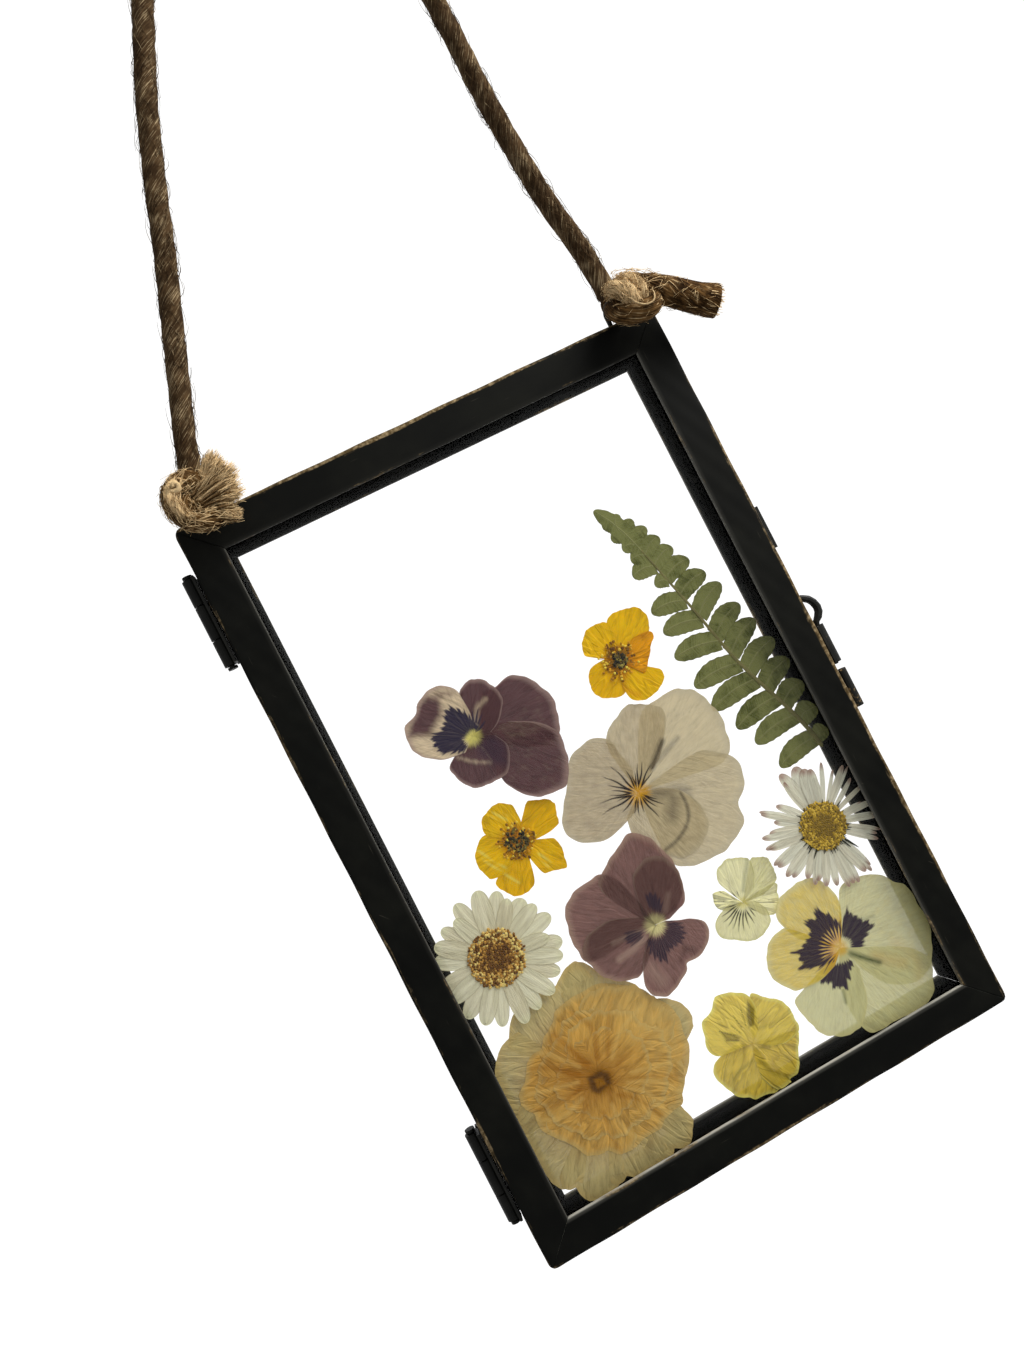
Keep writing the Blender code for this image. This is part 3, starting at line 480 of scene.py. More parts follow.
band, band_line = strand(RIGHT_BAND, (2.0, 1.95, 2.0, 2.05, 1.7), -0.2, sides=40, lay=40.0, relief=0.05)
front_turn, front_line = strand(RIGHT_FRONT, (1.3, 1.6, 1.5, 1.4, 1.0), 0.7, sides=32, lay=16.0,
    relief=0.12)
second_turn, second_line = strand(RIGHT_SECOND, (1.2, 1.3, 1.25, 1.2, 0.9), 0.5, sides=32, lay=16.0,
    relief=0.12)
tail, tail_line = strand(RIGHT_TAIL, (1.5, 1.9, 2.5, 2.8, 2.9, 3.0, 3.2), -0.3, sides=48, lay=60.0,
    relief=0.08, round_ends=False)
CUT = 320
outwards = (tail_line[-1] - tail_line[-12]) / np.linalg.norm(tail_line[-1] - tail_line[-12])
ring = rng.normal(0, 1, (CUT, 3))
ring -= outwards * (ring @ outwards)[:, None]
ring *= (3.1 * np.sqrt(rng.uniform(0, 1, CUT)) / np.linalg.norm(ring, axis=1))[:, None]
cut_tips = tail_line[-1] + outwards * rng.uniform(-0.3, 1.1, (CUT, 1)) + ring * rng.uniform(0.92, 1.1,
    (CUT, 1))
cut = hair_tubes(tail_line[-1] - outwards * 2.5 + ring * 0.93, cut_tips, rng.normal(0, 0.15, (CUT, 3)), 0.1)
curled, _ = strand(CURLED_FIBRE, (0.12, 0.16, 0.16, 0.12), 1.0, sides=8, strands=2, lay=9.0)
right_parts = [
    band, front_turn, second_turn, tail, curled,
    toned(cut, np.repeat(rng.uniform(0.2, 0.9, CUT), len(cut[0]) // CUT)),
    knot_fuzz(band_line, 120, 2.0, 7, first=24), knot_fuzz(front_line, 520, 1.5, 9),
    knot_fuzz(second_line, 420, 1.25, 10),
    knot_fuzz(tail_line, 220, 2.7, 12),
]
points, faces, about = joined(*right_parts)
right_knot = make_piece("right_rope_knot", points, faces, knot_jute, "front_half", "jute", ["right_knot"],
    **about)


# Rails. Eight mitred lengths of folded brass sheet with a black patina, four for each half of the
# frame. Each is a channel that grips its pane. The patina is rubbed off to the metal along the
# outer edges.

FLAT_STEP = 0.6


def rounded(corners, radii):
    """A closed outline through corners whose points are rounded by a quadratic curve, with even flats."""
    corners = np.asarray(corners, float)
    t = np.linspace(0, 1, 5)[:, None]
    outline, closeness = [], []
    for k, corner in enumerate(corners):
        before, after = corners[k - 1] - corner, corners[(k + 1) % len(corners)] - corner
        start = corner + before / np.linalg.norm(before) * radii[k]
        end = corner + after / np.linalg.norm(after) * radii[k]
        arc = start * (1 - t) ** 2 + corner * 2 * t * (1 - t) + end * t**2
        following = corners[(k + 1) % len(corners)]
        next_start = following - after / np.linalg.norm(after) * radii[(k + 1) % len(corners)]
        flat = next_start - end
        pieces = max(1, int(np.linalg.norm(flat) // FLAT_STEP))
        inner = np.linspace(0, 1, pieces + 1)[1:-1, None]
        outline += [arc, end + flat * inner]
        gap = np.minimum(inner, 1 - inner)[:, 0] * np.linalg.norm(flat)
        closeness += [np.ones(5), np.clip(1 - gap / 0.9, 0, 1)]
    return np.concatenate(outline), np.concatenate(closeness)


HALF_THICK = 3.3
SHEET = 0.8
CORNER = 2.0
MITRE = 0.04
OUTER_W, OUTER_H, DEPTH = 100.0, 150.0, 6.9
RAIL_TURNS = {"left": 0, "top": 90, "right": 180, "bottom": 270}
# How worn each rail's outer edge is, where along it the edge is most worn, and how far that reaches from there.
RAIL_WEAR = {"left": (0.25, 20, 40), "top": (1.15, -14, 26), "right": (0.9, 12, 34),
    "bottom": (0.45, 10, 30)}
# How strong the painted highlight along each rail's inner lip is: a pale line at the edge of the face next to the
# glass.
RAIL_LIP_HIGHLIGHT = {"left": 0.15, "top": 0.1, "right": 0.35, "bottom": 1.0}


def rail_surface(side, face, back, seed):
    """A rail: the rounded channel profile carried from mitre to mitre, with slight dents in its faces.

    At an inward distance d the rail ends d short of the frame's corner, which makes the 45 degree mitre.
    The first vertex attribute holds closeness to an edge, how worn the rail is, and the strength of a painted
    highlight along its inner lip; grain holds the way along the rail, the way across it and the depth, in mm.
    """
    corners = [(0, 0), (face, 0), (face, SHEET), (SHEET, SHEET), (SHEET, 2.6), (3.0, 2.6),
        (3.0, HALF_THICK), (0, HALF_THICK)]
    profile, closeness = rounded(corners, [0.55, 0.3, 0.2, 0.1, 0.1, 0.15, 0.15, 0.3])
    across, length = (OUTER_W, OUTER_H) if side in ("left", "right") else (OUTER_H, OUTER_W)
    ends = 1 - np.array([0, 0.25, 0.5, 0.8, 1.2, 1.7, 2.3, 3.2]) / (length / 2)
    t = np.unique(np.concatenate([-ends, np.linspace(-ends[-1], ends[-1], int(length / 0.9)), ends]))
    d, y = profile[None, :, 0], profile[None, :, 1]
    run = t[:, None] * (length / 2 - d - MITRE)
    wave = 0.035 * np.sin(run * 0.21 + seed) + 0.02 * np.sin(run * 0.83 + d * 1.7 + 2 * seed)
    on_front = np.exp(-((y / 0.4) ** 2))
    y = y + (wave + 0.055) * on_front
    d = d + np.where(d < 0.3, 0.05 + 0.05 * np.sin(run * 0.4 + seed * 3), 0.0)
    turn = math.radians(RAIL_TURNS[side])
    x0, z0 = d - across / 2, run
    x = x0 * math.cos(turn) + z0 * math.sin(turn)
    z = -x0 * math.sin(turn) + z0 * math.cos(turn)
    over_x, over_z = np.abs(x) - (OUTER_W / 2 - CORNER), np.abs(z) - (OUTER_H / 2 - CORNER)
    reach = np.hypot(over_x, over_z)
    shrink = np.where((over_x > 0) & (over_z > 0) & (reach > CORNER), CORNER / np.maximum(reach, 1e-6), 1.0)
    x = np.sign(x) * (OUTER_W / 2 - CORNER + np.where(shrink < 1, over_x * shrink, over_x))
    z = np.sign(z) * (OUTER_H / 2 - CORNER + np.where(shrink < 1, over_z * shrink, over_z))
    y = DEPTH - y if back else y + 0 * run
    points = np.stack([x, y + 0 * x, z], -1)
    faces = tube_faces(*points.shape[:2])
    if not back:
        faces = [f[::-1] for f in faces]
    amount, strongest, spread = RAIL_WEAR[side]
    worn = amount * np.clip(1 - d / 2.0, 0, 1) * (0.3 + 0.7 * np.exp(-(((run - strongest) / spread) ** 2)))
    # Painted highlight: a thin pale line along the face's inner edge, on the front plate only.
    lip = RAIL_LIP_HIGHLIGHT[side] * np.exp(-(((d - face) / 0.22) ** 2)) * (profile[None, :, 1] < SHEET + 0.05)
    wear_and_lip_highlight = np.stack([closeness[None] + 0 * run, worn + 0 * run, lip + 0 * run], -1)
    grain = np.stack([run + 37 * seed, d + 0 * run, y + 0 * run], -1)
    return points.reshape(-1, 3), faces, {"wear_and_lip_highlight": wear_and_lip_highlight.reshape(-1, 3), "grain": grain.reshape(-1, 3)}


def black_metal_finish():
    """Black patina over brass: brown-gold on rubbed edges, hair scratches along the rail, dull patches, and a painted
    highlight along the inner lip.
    """
    finish = Finish("black_patina")
    finish.set(finish.shader, {"Specular IOR Level": 0.09})
    edge, worn, lip = finish.attribute("wear_and_lip_highlight")
    run, across, depth = finish.attribute("grain")
    place = finish.place()
    cloud = finish.noise(place, 95.0, 5.0, 0.62)
    grit = finish.noise(place, 900.0, 3.0, 0.6)
    long_patches = finish.noise(finish.vector(run * 0.05, across * 0.35, depth * 0.3), 1.0, 4.0, 0.6)
    streaks = finish.noise(finish.vector(run * 0.22, across * 2.6, depth * 2.6), 1.0, 4.0, 0.6)
    rubbed = (edge * 0.42 + worn * 0.55 + long_patches * 1.2 + streaks * 0.7 + grit * 0.1
        - 1.36).above(0.12, 0.36)
    hair = finish.noise(finish.vector(run * 0.10, across * 3.4 + depth * 3.4, 5.0), 1.0, 2.0, 0.5)
    crossing = finish.noise(finish.vector(run * 1.6 + across * 1.9, across * 0.22, 9.0), 1.0, 2.0, 0.5)
    scratch = hair.above(0.72, 0.775) * 0.5 + crossing.above(0.755, 0.79) * 0.5
    base = finish.mix(cloud.above(0.35, 0.75), (0.0018, 0.0020, 0.0014), (0.0052, 0.0054, 0.0038))
    base = finish.mix(scratch * cloud.above(0.4, 0.6), base, (0.10, 0.09, 0.068))
    # Painted highlight: a pale grey line along the inner lip, broken up by the long patches.
    base = finish.mix(lip * long_patches.above(0.2, 0.45) * 0.95, base, (0.34, 0.33, 0.29))
    brass = finish.mix(grit.above(0.4, 0.7), (0.09, 0.06, 0.025), (0.36, 0.27, 0.15))
    finish.set(finish.shader, {
        "Base Color": finish.mix(rubbed, base, brass),
        "Metallic": rubbed * 0.6,
        "Roughness": 0.52 + cloud * 0.22 - rubbed * 0.12,
    })
    finish.bump(cloud * 0.5 + grit * 0.12 - scratch * 0.5, 0.04, 0.6)
    return finish


black_metal = black_metal_finish()
for half, is_back, face_width in (("front", False, 7.0), ("back", True, 8.0)):
    for number, side in enumerate(RAIL_TURNS):
        points, faces, about = rail_surface(side, face_width, is_back, number + 4 * is_back)
        name = f"{half}_{side}_rail"
        make_piece(f"{name}_metal", points, faces, black_metal, f"{half}_half", "black_metal", [name],
            **about)


# Panes. Two sheets of plain window glass, one gripped by each half, with the specimens lying
# between them.

glass = Finish("pane_glass", Roughness=0.03, Metallic=1.0)
fresnel = glass.node("ShaderNodeFresnel", None, {"IOR": 1.35})
smears = glass.noise(glass.place(), 55.0, 3.0)
glass.set(glass.shader, {
    "Base Color": (0.93, 0.95, 0.94), "Alpha": fresnel * 0.5 + smears.above(0.55, 0.8) * 0.006,
})
for pane in ("front_glass", "back_glass"):
    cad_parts[pane].data.materials[0] = glass.material


# Hinges, latch, tab and eyelets. Black hardware, soldered to the rails: two pinned hinges on the
# left, a wire pin in short tubes and a small tab on the right, and a wire eyelet on each top
# corner. The latch is rubbed to brass.

def hardware_finish(name, rubbed_share):
    """The same patina on small fittings, rubbed in spots instead of along edges."""
    finish = Finish(name)
    finish.set(finish.shader, {"Specular IOR Level": 0.2})
    place = finish.place()
    cloud = finish.noise(place, 320.0, 4.0, 0.6)
    grit = finish.noise(place, 1400.0, 3.0, 0.6)
    rubbed = (cloud + grit * 0.3).above(0.86 - rubbed_share, 0.98 - rubbed_share)
    base = finish.mix(cloud.above(0.3, 0.7), (0.003, 0.0032, 0.0023), (0.010, 0.010, 0.008))
    finish.set(finish.shader, {
        "Base Color": finish.mix(rubbed, base, (0.30, 0.20, 0.09)), "Metallic": rubbed * 0.8,
        "Roughness": 0.42 + cloud * 0.25,
    })
    finish.bump(grit, 0.04, 0.6)
    return finish


dull, bright = hardware_finish("black_fittings", 0.0), hardware_finish("rubbed_fittings", 0.22)
for name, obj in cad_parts.items():
    if "hinge" in name or name in ("left_eyelet", "right_eyelet", "thumb_tab", "latch_pin",
        "latch_tube_front"):
        obj.data.materials[0] = dull.material
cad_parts["latch_tube_back"].data.materials[0] = bright.material


# Violas, pansy and buttercups. Pressed flowers, thin as tissue. Each petal is a sheet that fans out
# from the flower's middle; the petals overlap from back to front, and darken where two lie together
# because light passes through them.

LIGHT = 0.70


def seen(red, green, blue, through=0.0):
    """The base colour that comes out as the given screen colour, 0 to 255, in this scene's light.

    The colour is made linear, the white that comes through from behind is taken off, and the rest is
    divided by the share that the surface keeps and by the brightness of a white surface here.
    """
    linear = np.array([((c / 255 + 0.055) / 1.055) ** 2.4 if c > 10 else c / 3295 for c in (red, green,
        blue)])
    return tuple(map(float, np.clip((linear - through) / (1 - through) / LIGHT, 0.002, 0.95)))


def depth_inside(x, z, outline):
    """How far each point lies inside a closed outline, in mm; less than 0 outside it."""
    a = np.asarray(outline, float)
    edge = np.roll(a, -1, 0) - a
    edge[np.abs(edge).sum(1) < 1e-6] = 1e-6
    rel = np.stack([x[:, None] - a[:, 0], z[:, None] - a[:, 1]], -1)
    t = np.clip((rel * edge).sum(-1) / (edge**2).sum(-1), 0, 1)
    near = np.linalg.norm(rel - t[..., None] * edge, axis=-1).min(1)
    rising = np.where(np.abs(edge[:, 1]) < 1e-9, 1e-9, edge[:, 1])
    over = ((a[:, 1] > z[:, None]) != (np.roll(a[:, 1], -1) > z[:, None]))
    crossed = over & (x[:, None] < edge[:, 0] * (z[:, None] - a[:, 1]) / rising + a[:, 0])
    return np.where(crossed.sum(1) % 2 == 1, near, -near)


def scaled(outline, size):
    """The outline made larger or smaller about its own middle."""
    points = np.asarray(outline, float)
    return points.mean(0) + (points - points.mean(0)) * size


def patch(x, z, outline, soft=0.3, jag=0.0, middle=(0, 0)):
    """1 inside a closed outline and 0 outside; the edge is soft, and jagged by the angle about a middle."""
    angle = np.degrees(np.arctan2(z - middle[1], x - middle[0]))
    teeth = jag * (np.abs((angle * 0.21) % 2 - 1) + 0.5 * np.abs((angle * 0.53) % 2 - 1) - 0.7)
    return np.clip((depth_inside(x, z, outline) - teeth) / soft + 0.5, 0, 1)


def stroke(x, z, line, width, soft=0.25):
    """1 along a bent line of the given width, fading out over the soft distance."""
    line = smooth_path(line, 0.4)
    near = np.min(np.hypot(x[:, None] - line[None, :, 0], z[:, None] - line[None, :, 1]), axis=1)
    return np.clip((width / 2 - near) / soft + 0.5, 0, 1)


def rays(x, z, middle, spokes, width=0.42, start=0.8):
    """1 on thin rays from the middle, each with its angle in degrees and its reach, narrow at both ends."""
    mark = np.zeros(len(x))
    dx, dz = x - middle[0], z - middle[1]
    for degrees, reach in spokes:
        a = math.radians(degrees)
        along = dx * math.cos(a) + dz * math.sin(a)
        off = np.abs(dz * math.cos(a) - dx * math.sin(a) + 0.12 * np.sin(along * 1.1 + degrees))
        half = width / 2 * np.sqrt(np.clip((reach - along) / reach * 1.6, 0,
            1)) * np.clip((along - start) / 1.0, 0, 1)
        mark = np.maximum(mark, np.clip((half - off) / 0.14 + 0.35, 0,
            1) * (along > start) * (along < reach))
    return mark


CRUMPLE = 0.05


def petal_fan(outline, middle, depth, number, rows=44, columns=130, ruffle=0.012):
    """A petal: straight lines from the flower's middle to a smooth outline, in even steps along both.

    The rim wanders by a small sum of sines, and the sheet waves to and fro by a few hundredths of a
    millimetre. The vertex attribute fan holds the angle from the petal's own direction, the distance in mm
    and the petal's number.
    """
    rim = smooth_path(outline, 0.15)
    rim = rim[np.linspace(0, len(rim) - 1, columns).round().astype(int)]
    middle = np.asarray(middle, float)
    u = np.linspace(0, 1, columns)
    wander = np.sin(u * 47 + number * 2.1) * 0.5 + np.sin(u * 91 + number) * 0.3 + np.sin(u * 23 + 1.3
        * number)
    spoke = (rim - middle) * (1 + ruffle * wander * np.sin(np.pi * u))[:, None]
    v = np.linspace(0, 1, rows)[1:, None, None] ** 0.85
    offset = spoke[None] * v
    towards = math.atan2(*spoke.mean(0)[::-1])
    distance = np.linalg.norm(offset, axis=2)
    angle = (np.arctan2(offset[..., 1], offset[..., 0]) - towards + np.pi) % (2 * np.pi) - np.pi
    waves = np.sin(angle * 9 + number) * 0.5 + 0.4 * np.sin(distance * 0.9 + angle * 4 + number)
    grid = np.stack([middle[0] + offset[..., 0], depth + CRUMPLE * v[..., 0] * waves,
        middle[1] + offset[..., 1]], -1)
    points = np.concatenate([[[middle[0], depth, middle[1]]], grid.reshape(-1, 3)])
    n, m = grid.shape[:2]
    faces = [*([0, 2 + k, 1 + k] for k in range(m - 1)), *(1 + quad_grid(n, m)).tolist()]
    if np.cross(spoke[:-1], spoke[1:]).sum() < 0:
        faces = [f[::-1] for f in faces]
    fan = np.stack([angle, distance, np.full(angle.shape, float(number))], -1).reshape(-1, 3)
    rims = np.concatenate([[0], np.broadcast_to(v[..., 0], angle.shape).ravel()])
    return points, faces, np.concatenate([[[0, 0, number]], fan]), rims


def flower(name, middle, petals, finish, paint, **shape):
    """A flower's petals as one piece, from back to front through the depth that its solid holds.

    The vertex attribute paint holds the dark marks, the tint and the share of the way to the rim; the second
    attribute holds the shares of the warm and the cool colour, which are stains on some petals and painted shade and
    highlights on others, and the number of petals behind, which sets a painted shade. paint(x, z, number) gives any
    of them.
    """
    low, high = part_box(name)
    back, front = (high.y - MIDDLE[1]) / MM - 0.04, (low.y - MIDDLE[1]) / MM + 0.07
    sheets, behind = [], []
    for number, (tint, outline) in enumerate(petals):
        depth = back + (front - back) * number / max(1, len(petals) - 1)
        points, faces, fan, rims = petal_fan(outline, middle, depth, number + 1, **shape)
        x, z = points[:, 0], points[:, 2]
        extra = paint(x, z, number)
        none = np.zeros(len(x))
        # The number of petals behind each point, which darkens it as painted shade.
        under = sum((np.clip(depth_inside(x, z, other) / 0.3 + 0.5, 0, 1) for other in behind), none)
        behind.append(np.concatenate([[middle], smooth_path(outline, 0.6)]))
        sheets.append((points, faces, {
            "fan": fan,
            "paint": np.column_stack([extra.get("mark", none), tint + extra.get("tint", none), rims]),
            "stains_and_painted_light": np.column_stack([extra.get("warm", none), extra.get("cool", none),
                np.minimum(under, 2)]),
        }))
    points, faces, about = joined(*sheets)
    make_piece(f"{name}_petals", points, faces, finish, "front_half", name, [name], **about)
    return front


def petal_finish(
    name, light, dark, mark, throat, reach, through, warm=None, cool=None, vein=0.3, fold=0.25, stack=0.5,
    crease=0.2, roughness=0.75, rim=None, vein_turns=26.0,
):
    """Tissue-thin petal: veins that fan out and fork, crumpled folds and creases with painted shade and highlights, a
    throat, painted marks, a painted edge line at the rim, and warm and cool colours that are stains on some petals
    and painted shade and highlights on others.

    The petal lets the given share of light through, but none at its dark marks. Where others lie behind
    it, the colour is multiplied by a darker one: painted shade for the light that they hold back.
    """
    light, dark, throat = (seen(*c, through) for c in (light, dark, throat))
    finish = Finish(name, Roughness=roughness)
    finish.set(finish.shader, {"Specular IOR Level": 0.10})
    angle, distance, number = finish.attribute("fan")
    painted, tint, to_rim = finish.attribute("paint")
    warmth, coolness, under = finish.attribute("stains_and_painted_light")
    veins = finish.noise(finish.vector(angle * vein_turns, distance * 0.16, number * 7), 1.0, 3.0, 0.6)
    forks = finish.noise(finish.vector(angle * 9, distance * 0.5, number * 3), 1.0, 3.0, 0.6)
    mottle = finish.noise(finish.place(), 420.0, 4.0, 0.62)
    crumple = finish.noise(finish.vector(angle * distance * 0.55, distance * 0.16, number * 5), 1.0, 4.0,
        0.62)
    bend = finish.noise(finish.vector(angle * distance * 0.30, distance * 0.075, number * 9), 1.0, 3.0,
        0.42)
    ridge = bend.above(0.44, 0.48) * (1 - bend.above(0.48, 0.51)) + bend.above(0.57,
        0.60) * (1 - bend.above(0.60, 0.63))
    valley = bend.above(0.49, 0.52) * (1 - bend.above(0.52, 0.57)) + bend.above(0.37,
        0.39) * (1 - bend.above(0.39, 0.43))
    colour = finish.mix((tint + (forks - 0.5) * 0.55).above(0.0, 1.0), light, dark)
    # Veins and mottle darken as the petal's own colour; the crumpled folds darken as painted shade.
    shade = veins.above(0.45, 0.64) * vein + mottle.above(0.45, 0.75) * vein * 0.5 + crumple.above(0.5,
        0.66) * fold
    colour = finish.times(shade, colour, (0.50, 0.46, 0.42))
    # Painted highlights on the other side of the crumpled folds, with paler mottle.
    bright = (1 - crumple).above(0.52, 0.68) * fold + (1 - mottle).above(0.55, 0.75) * vein * 0.3
    colour = finish.times(bright * 0.8, colour, (1.32, 1.28, 1.22))
    # Painted shade in the valleys of the creases and painted highlights on their ridges.
    creased = (tint * 0.75 + 0.3).above(0.0, 1.0) * crease
    colour = finish.times(valley * creased, colour, (0.56, 0.50, 0.44))
    colour = finish.times(ridge * creased, colour, (1.42, 1.40, 1.36))
    # A painted edge line in the rim colour along the petal's rim, standing in for the light and shade at its edge.
    if rim:
        colour = finish.mix(to_rim.above(0.90, 1.0) * 0.7, colour, seen(*rim, through))
    # The warm and cool colours: stains on some petals, painted shade and highlights on others.
    if warm:
        colour = finish.mix(warmth * (0.6 + crumple * 0.5), colour, seen(*warm, through))
    if cool:
        colour = finish.mix(coolness * (0.55 + veins * 0.6), colour, seen(*cool, through))
    inner = 1 - (distance + (veins - 0.5) * 3.0).above(reach * 0.4, reach)
    colour = finish.mix(inner * 0.95, colour, throat)
    # Painted shade where other petals lie behind: two layers let less light through.
    colour = finish.times(under * stack, colour, (0.36, 0.34, 0.34))
    marked = painted * (0.78 + veins * 0.4)
    colour = finish.mix(marked, colour, seen(*mark))
    finish.set(finish.shader, {"Base Color": colour, "Alpha": 1 - through + painted * through})
    finish.bump(veins * 0.5 + crumple * 1.6 + mottle * 0.3 + (ridge - valley) * crease, 0.16, 0.7)
    return finish


WHITE_MIDDLE = (4.7, -6.9)
WHITE_RAYS = [
    (109, 7.4), (128, 7.9), (137, 6.4), (148, 5.2), (166, 7.6), (158, 5.6), (183, 8.0), (174, 4.4),
    (202, 4.9), (232, 4.2),
    (244, 4.4), (262, 3.9), (-77, 6.2), (-64, 4.6), (-52, 5.6), (-45, 4.0), (92, 4.9), (82, 3.6), (73, 4.0),
    (63, 5.6),
    (54, 6.0), (38, 6.1), (28, 5.0),
]
WHITE_PETALS = [
    (0.05, [(10, 3), (13, 6.6), (18.9, 7.3), (22, 6.4), (23.7, 5.3), (25.4, 2.5), (25.8, -0.2), (25.6, -4),
            (24.7, -8), (21.5, -9.6), (17, -8.5), (11, -7.6)]),
    (0.25, [(14, -5.5), (19.5, -5.5), (23, -8), (24.8, -10.5), (24.7, -13.5), (23.3, -16.3), (21.4, -17.7),
           (20.6, -20.5), (19.1, -22.4), (14.7, -24.6), (10.2, -24.5), (7, -23.6), (4.7, -22.2), (4, -18.5),
           (4, -13)]),
    (0.4, [(4.2, -1), (3.4, 2.5), (4.4, 5.6), (7, 7.5), (10.8, 8.6), (13.6, 7.6), (15.8, 6), (16.2, 3.6),
           (14.5, 0.5), (11.5, -3)]),
    (0.35, [(0.5, -10), (0.1, -13.5), (1.6, -17), (4.5, -20), (7.5, -21.8), (10.8, -21.4), (13.6, -19.3),
            (14.5, -15.5), (13.9, -13), (12, -10), (9, -8)]),
    (0.5, [(5.8, -2), (5.0, 1.5), (4.7, 4), (3.4, 5.5), (1, 6.4), (-2.8, 5.4), (-4.9, 3.6), (-7.1, 0.4),
        (-9.6, -3), (-10.9, -6.3),
           (-10.6, -8.6), (-9.2, -10.2), (-5.3, -11.8), (-1.8, -11.3), (1.6, -10.2), (3.4, -9.4)]),
]


def white_paint(x, z, number):
    """The marks and the cool colour of one petal, counted from the back; the cool colour is painted shade along its
    folds and wrinkles and where petals overlap.
    """
    # Every cool stroke below is painted shade: a curved fold, fine wrinkles, and dark zones where petals overlap.
    cool = np.zeros(len(x))
    if number == 3:
        arc = stroke(x, z, [(12, -10.8), (12.0, -13.4), (11.2, -15.6), (9.5, -17.2), (7, -18.4),
            (4.4, -18.9)], 0.7, 0.5)
        cool = np.maximum(arc * 0.75, stroke(x, z, [(7.6, -8.4), (10.4, -10.2), (8.6, -13.8)], 1.6,
            3.0) * 0.7)
    if number in (0, 2):
        cool = np.maximum(stroke(x, z, [(9.4, -3.9), (11.6, -2), (13.4, -0.4)], 1.0, 1.0),
            stroke(x, z, [(10.6, -3.4), (16.4, -1.3)], 0.5, 1.2) * 0.8)
    if number == 0:
        wrinkles = np.maximum(stroke(x, z, [(16, 3.2), (18.6, 3.8), (20.6, 2.4), (21.4, 0)], 0.12),
            stroke(x, z, [(17, 2.2), (19.3, 2.6), (20.6, 0.8), (20.8, -1)], 0.12))
        cool = np.maximum.reduce([cool, wrinkles * 0.35,
            stroke(x, z, [(8.4, -7), (12.4, -7.4), (15.4, -8.2), (18.4, -8)], 1.0, 1.8) * 0.75])
    if number == 1:
        cool = stroke(x, z, [(7, -8.5), (10.6, -9.8), (13, -11)], 1.6, 2.4) * 0.7
    return {"mark": rays(x, z, WHITE_MIDDLE, WHITE_RAYS), "cool": cool}


# The cool colour here is the painted shade of folds, wrinkles and overlaps.
flower("viola_white", WHITE_MIDDLE, WHITE_PETALS, petal_finish(
    "viola_white", (194, 182, 150), (150, 134, 112), (30, 25, 26), (196, 152, 60), 3.2, 0.07,
    cool=(78, 68, 70), vein=0.16, fold=0.18, stack=0.03, crease=0.12, rim=(178, 168, 142)), white_paint)

CREAM_MIDDLE = (-18.4, 17.1)
CREAM_PETALS = [
    (0.95, [(-15, 20), (-13.5, 23.3), (-10.4, 23.4), (-7.4, 24), (-4.8, 22.8), (-2.6, 20), (-1.8, 16.4),
        (-2.4, 12.6),
            (-3.7, 9.8), (-8, 9.5), (-13, 12.5)]),
    (0.84, [(-14.5, 12), (-17, 7.6), (-16, 4.9), (-14.1, 2.4), (-11.6, 0.9), (-8.5, 0.7), (-6.3, 1.7),
        (-4.4, 4.6),
            (-3.6, 8), (-4, 11), (-6.5, 14), (-11, 16.5)]),
    (1.1, [(-17.8, 22), (-17, 25.3), (-14.3, 26.8), (-12.1, 25.7), (-10.3, 23), (-10.2, 21), (-11, 19.4),
           (-12.7, 17.4), (-15, 16.2)]),
    (1.1, [(-22, 16), (-24.8, 14), (-24.7, 12), (-24, 10.1), (-22.2, 8.4), (-20.4, 7.8), (-17, 7.8),
        (-14.8, 9),
            (-13.3, 12.4), (-14.5, 15.4)]),
    (0.06, [(-16.4, 18.4), (-17, 20), (-16.8, 21.5), (-16.9, 24), (-17.2, 26.2), (-19, 28), (-21.3, 28.4),
        (-23.5, 28), (-25.1, 27),
            (-26, 25.6), (-28, 24.8), (-29, 23.7), (-29.7, 20.6), (-29, 18.8), (-28.3, 17.8), (-26.5, 16.5),
            (-24.8, 15.6), (-21, 15)]),
]
CREAM_BLOTCH = [
    (-24.6, 20.7), (-24.9, 18.6), (-24.3, 17.3), (-21.2, 15.8), (-20.2, 16.3), (-20.3, 17.7), (-18.6, 18.3),
    (-17.5, 18.0),
    (-17.1, 19.2), (-18.2, 21.5), (-19.6, 23.2), (-21.0, 23.0), (-21.8, 21.4), (-23.2, 20.4),
]


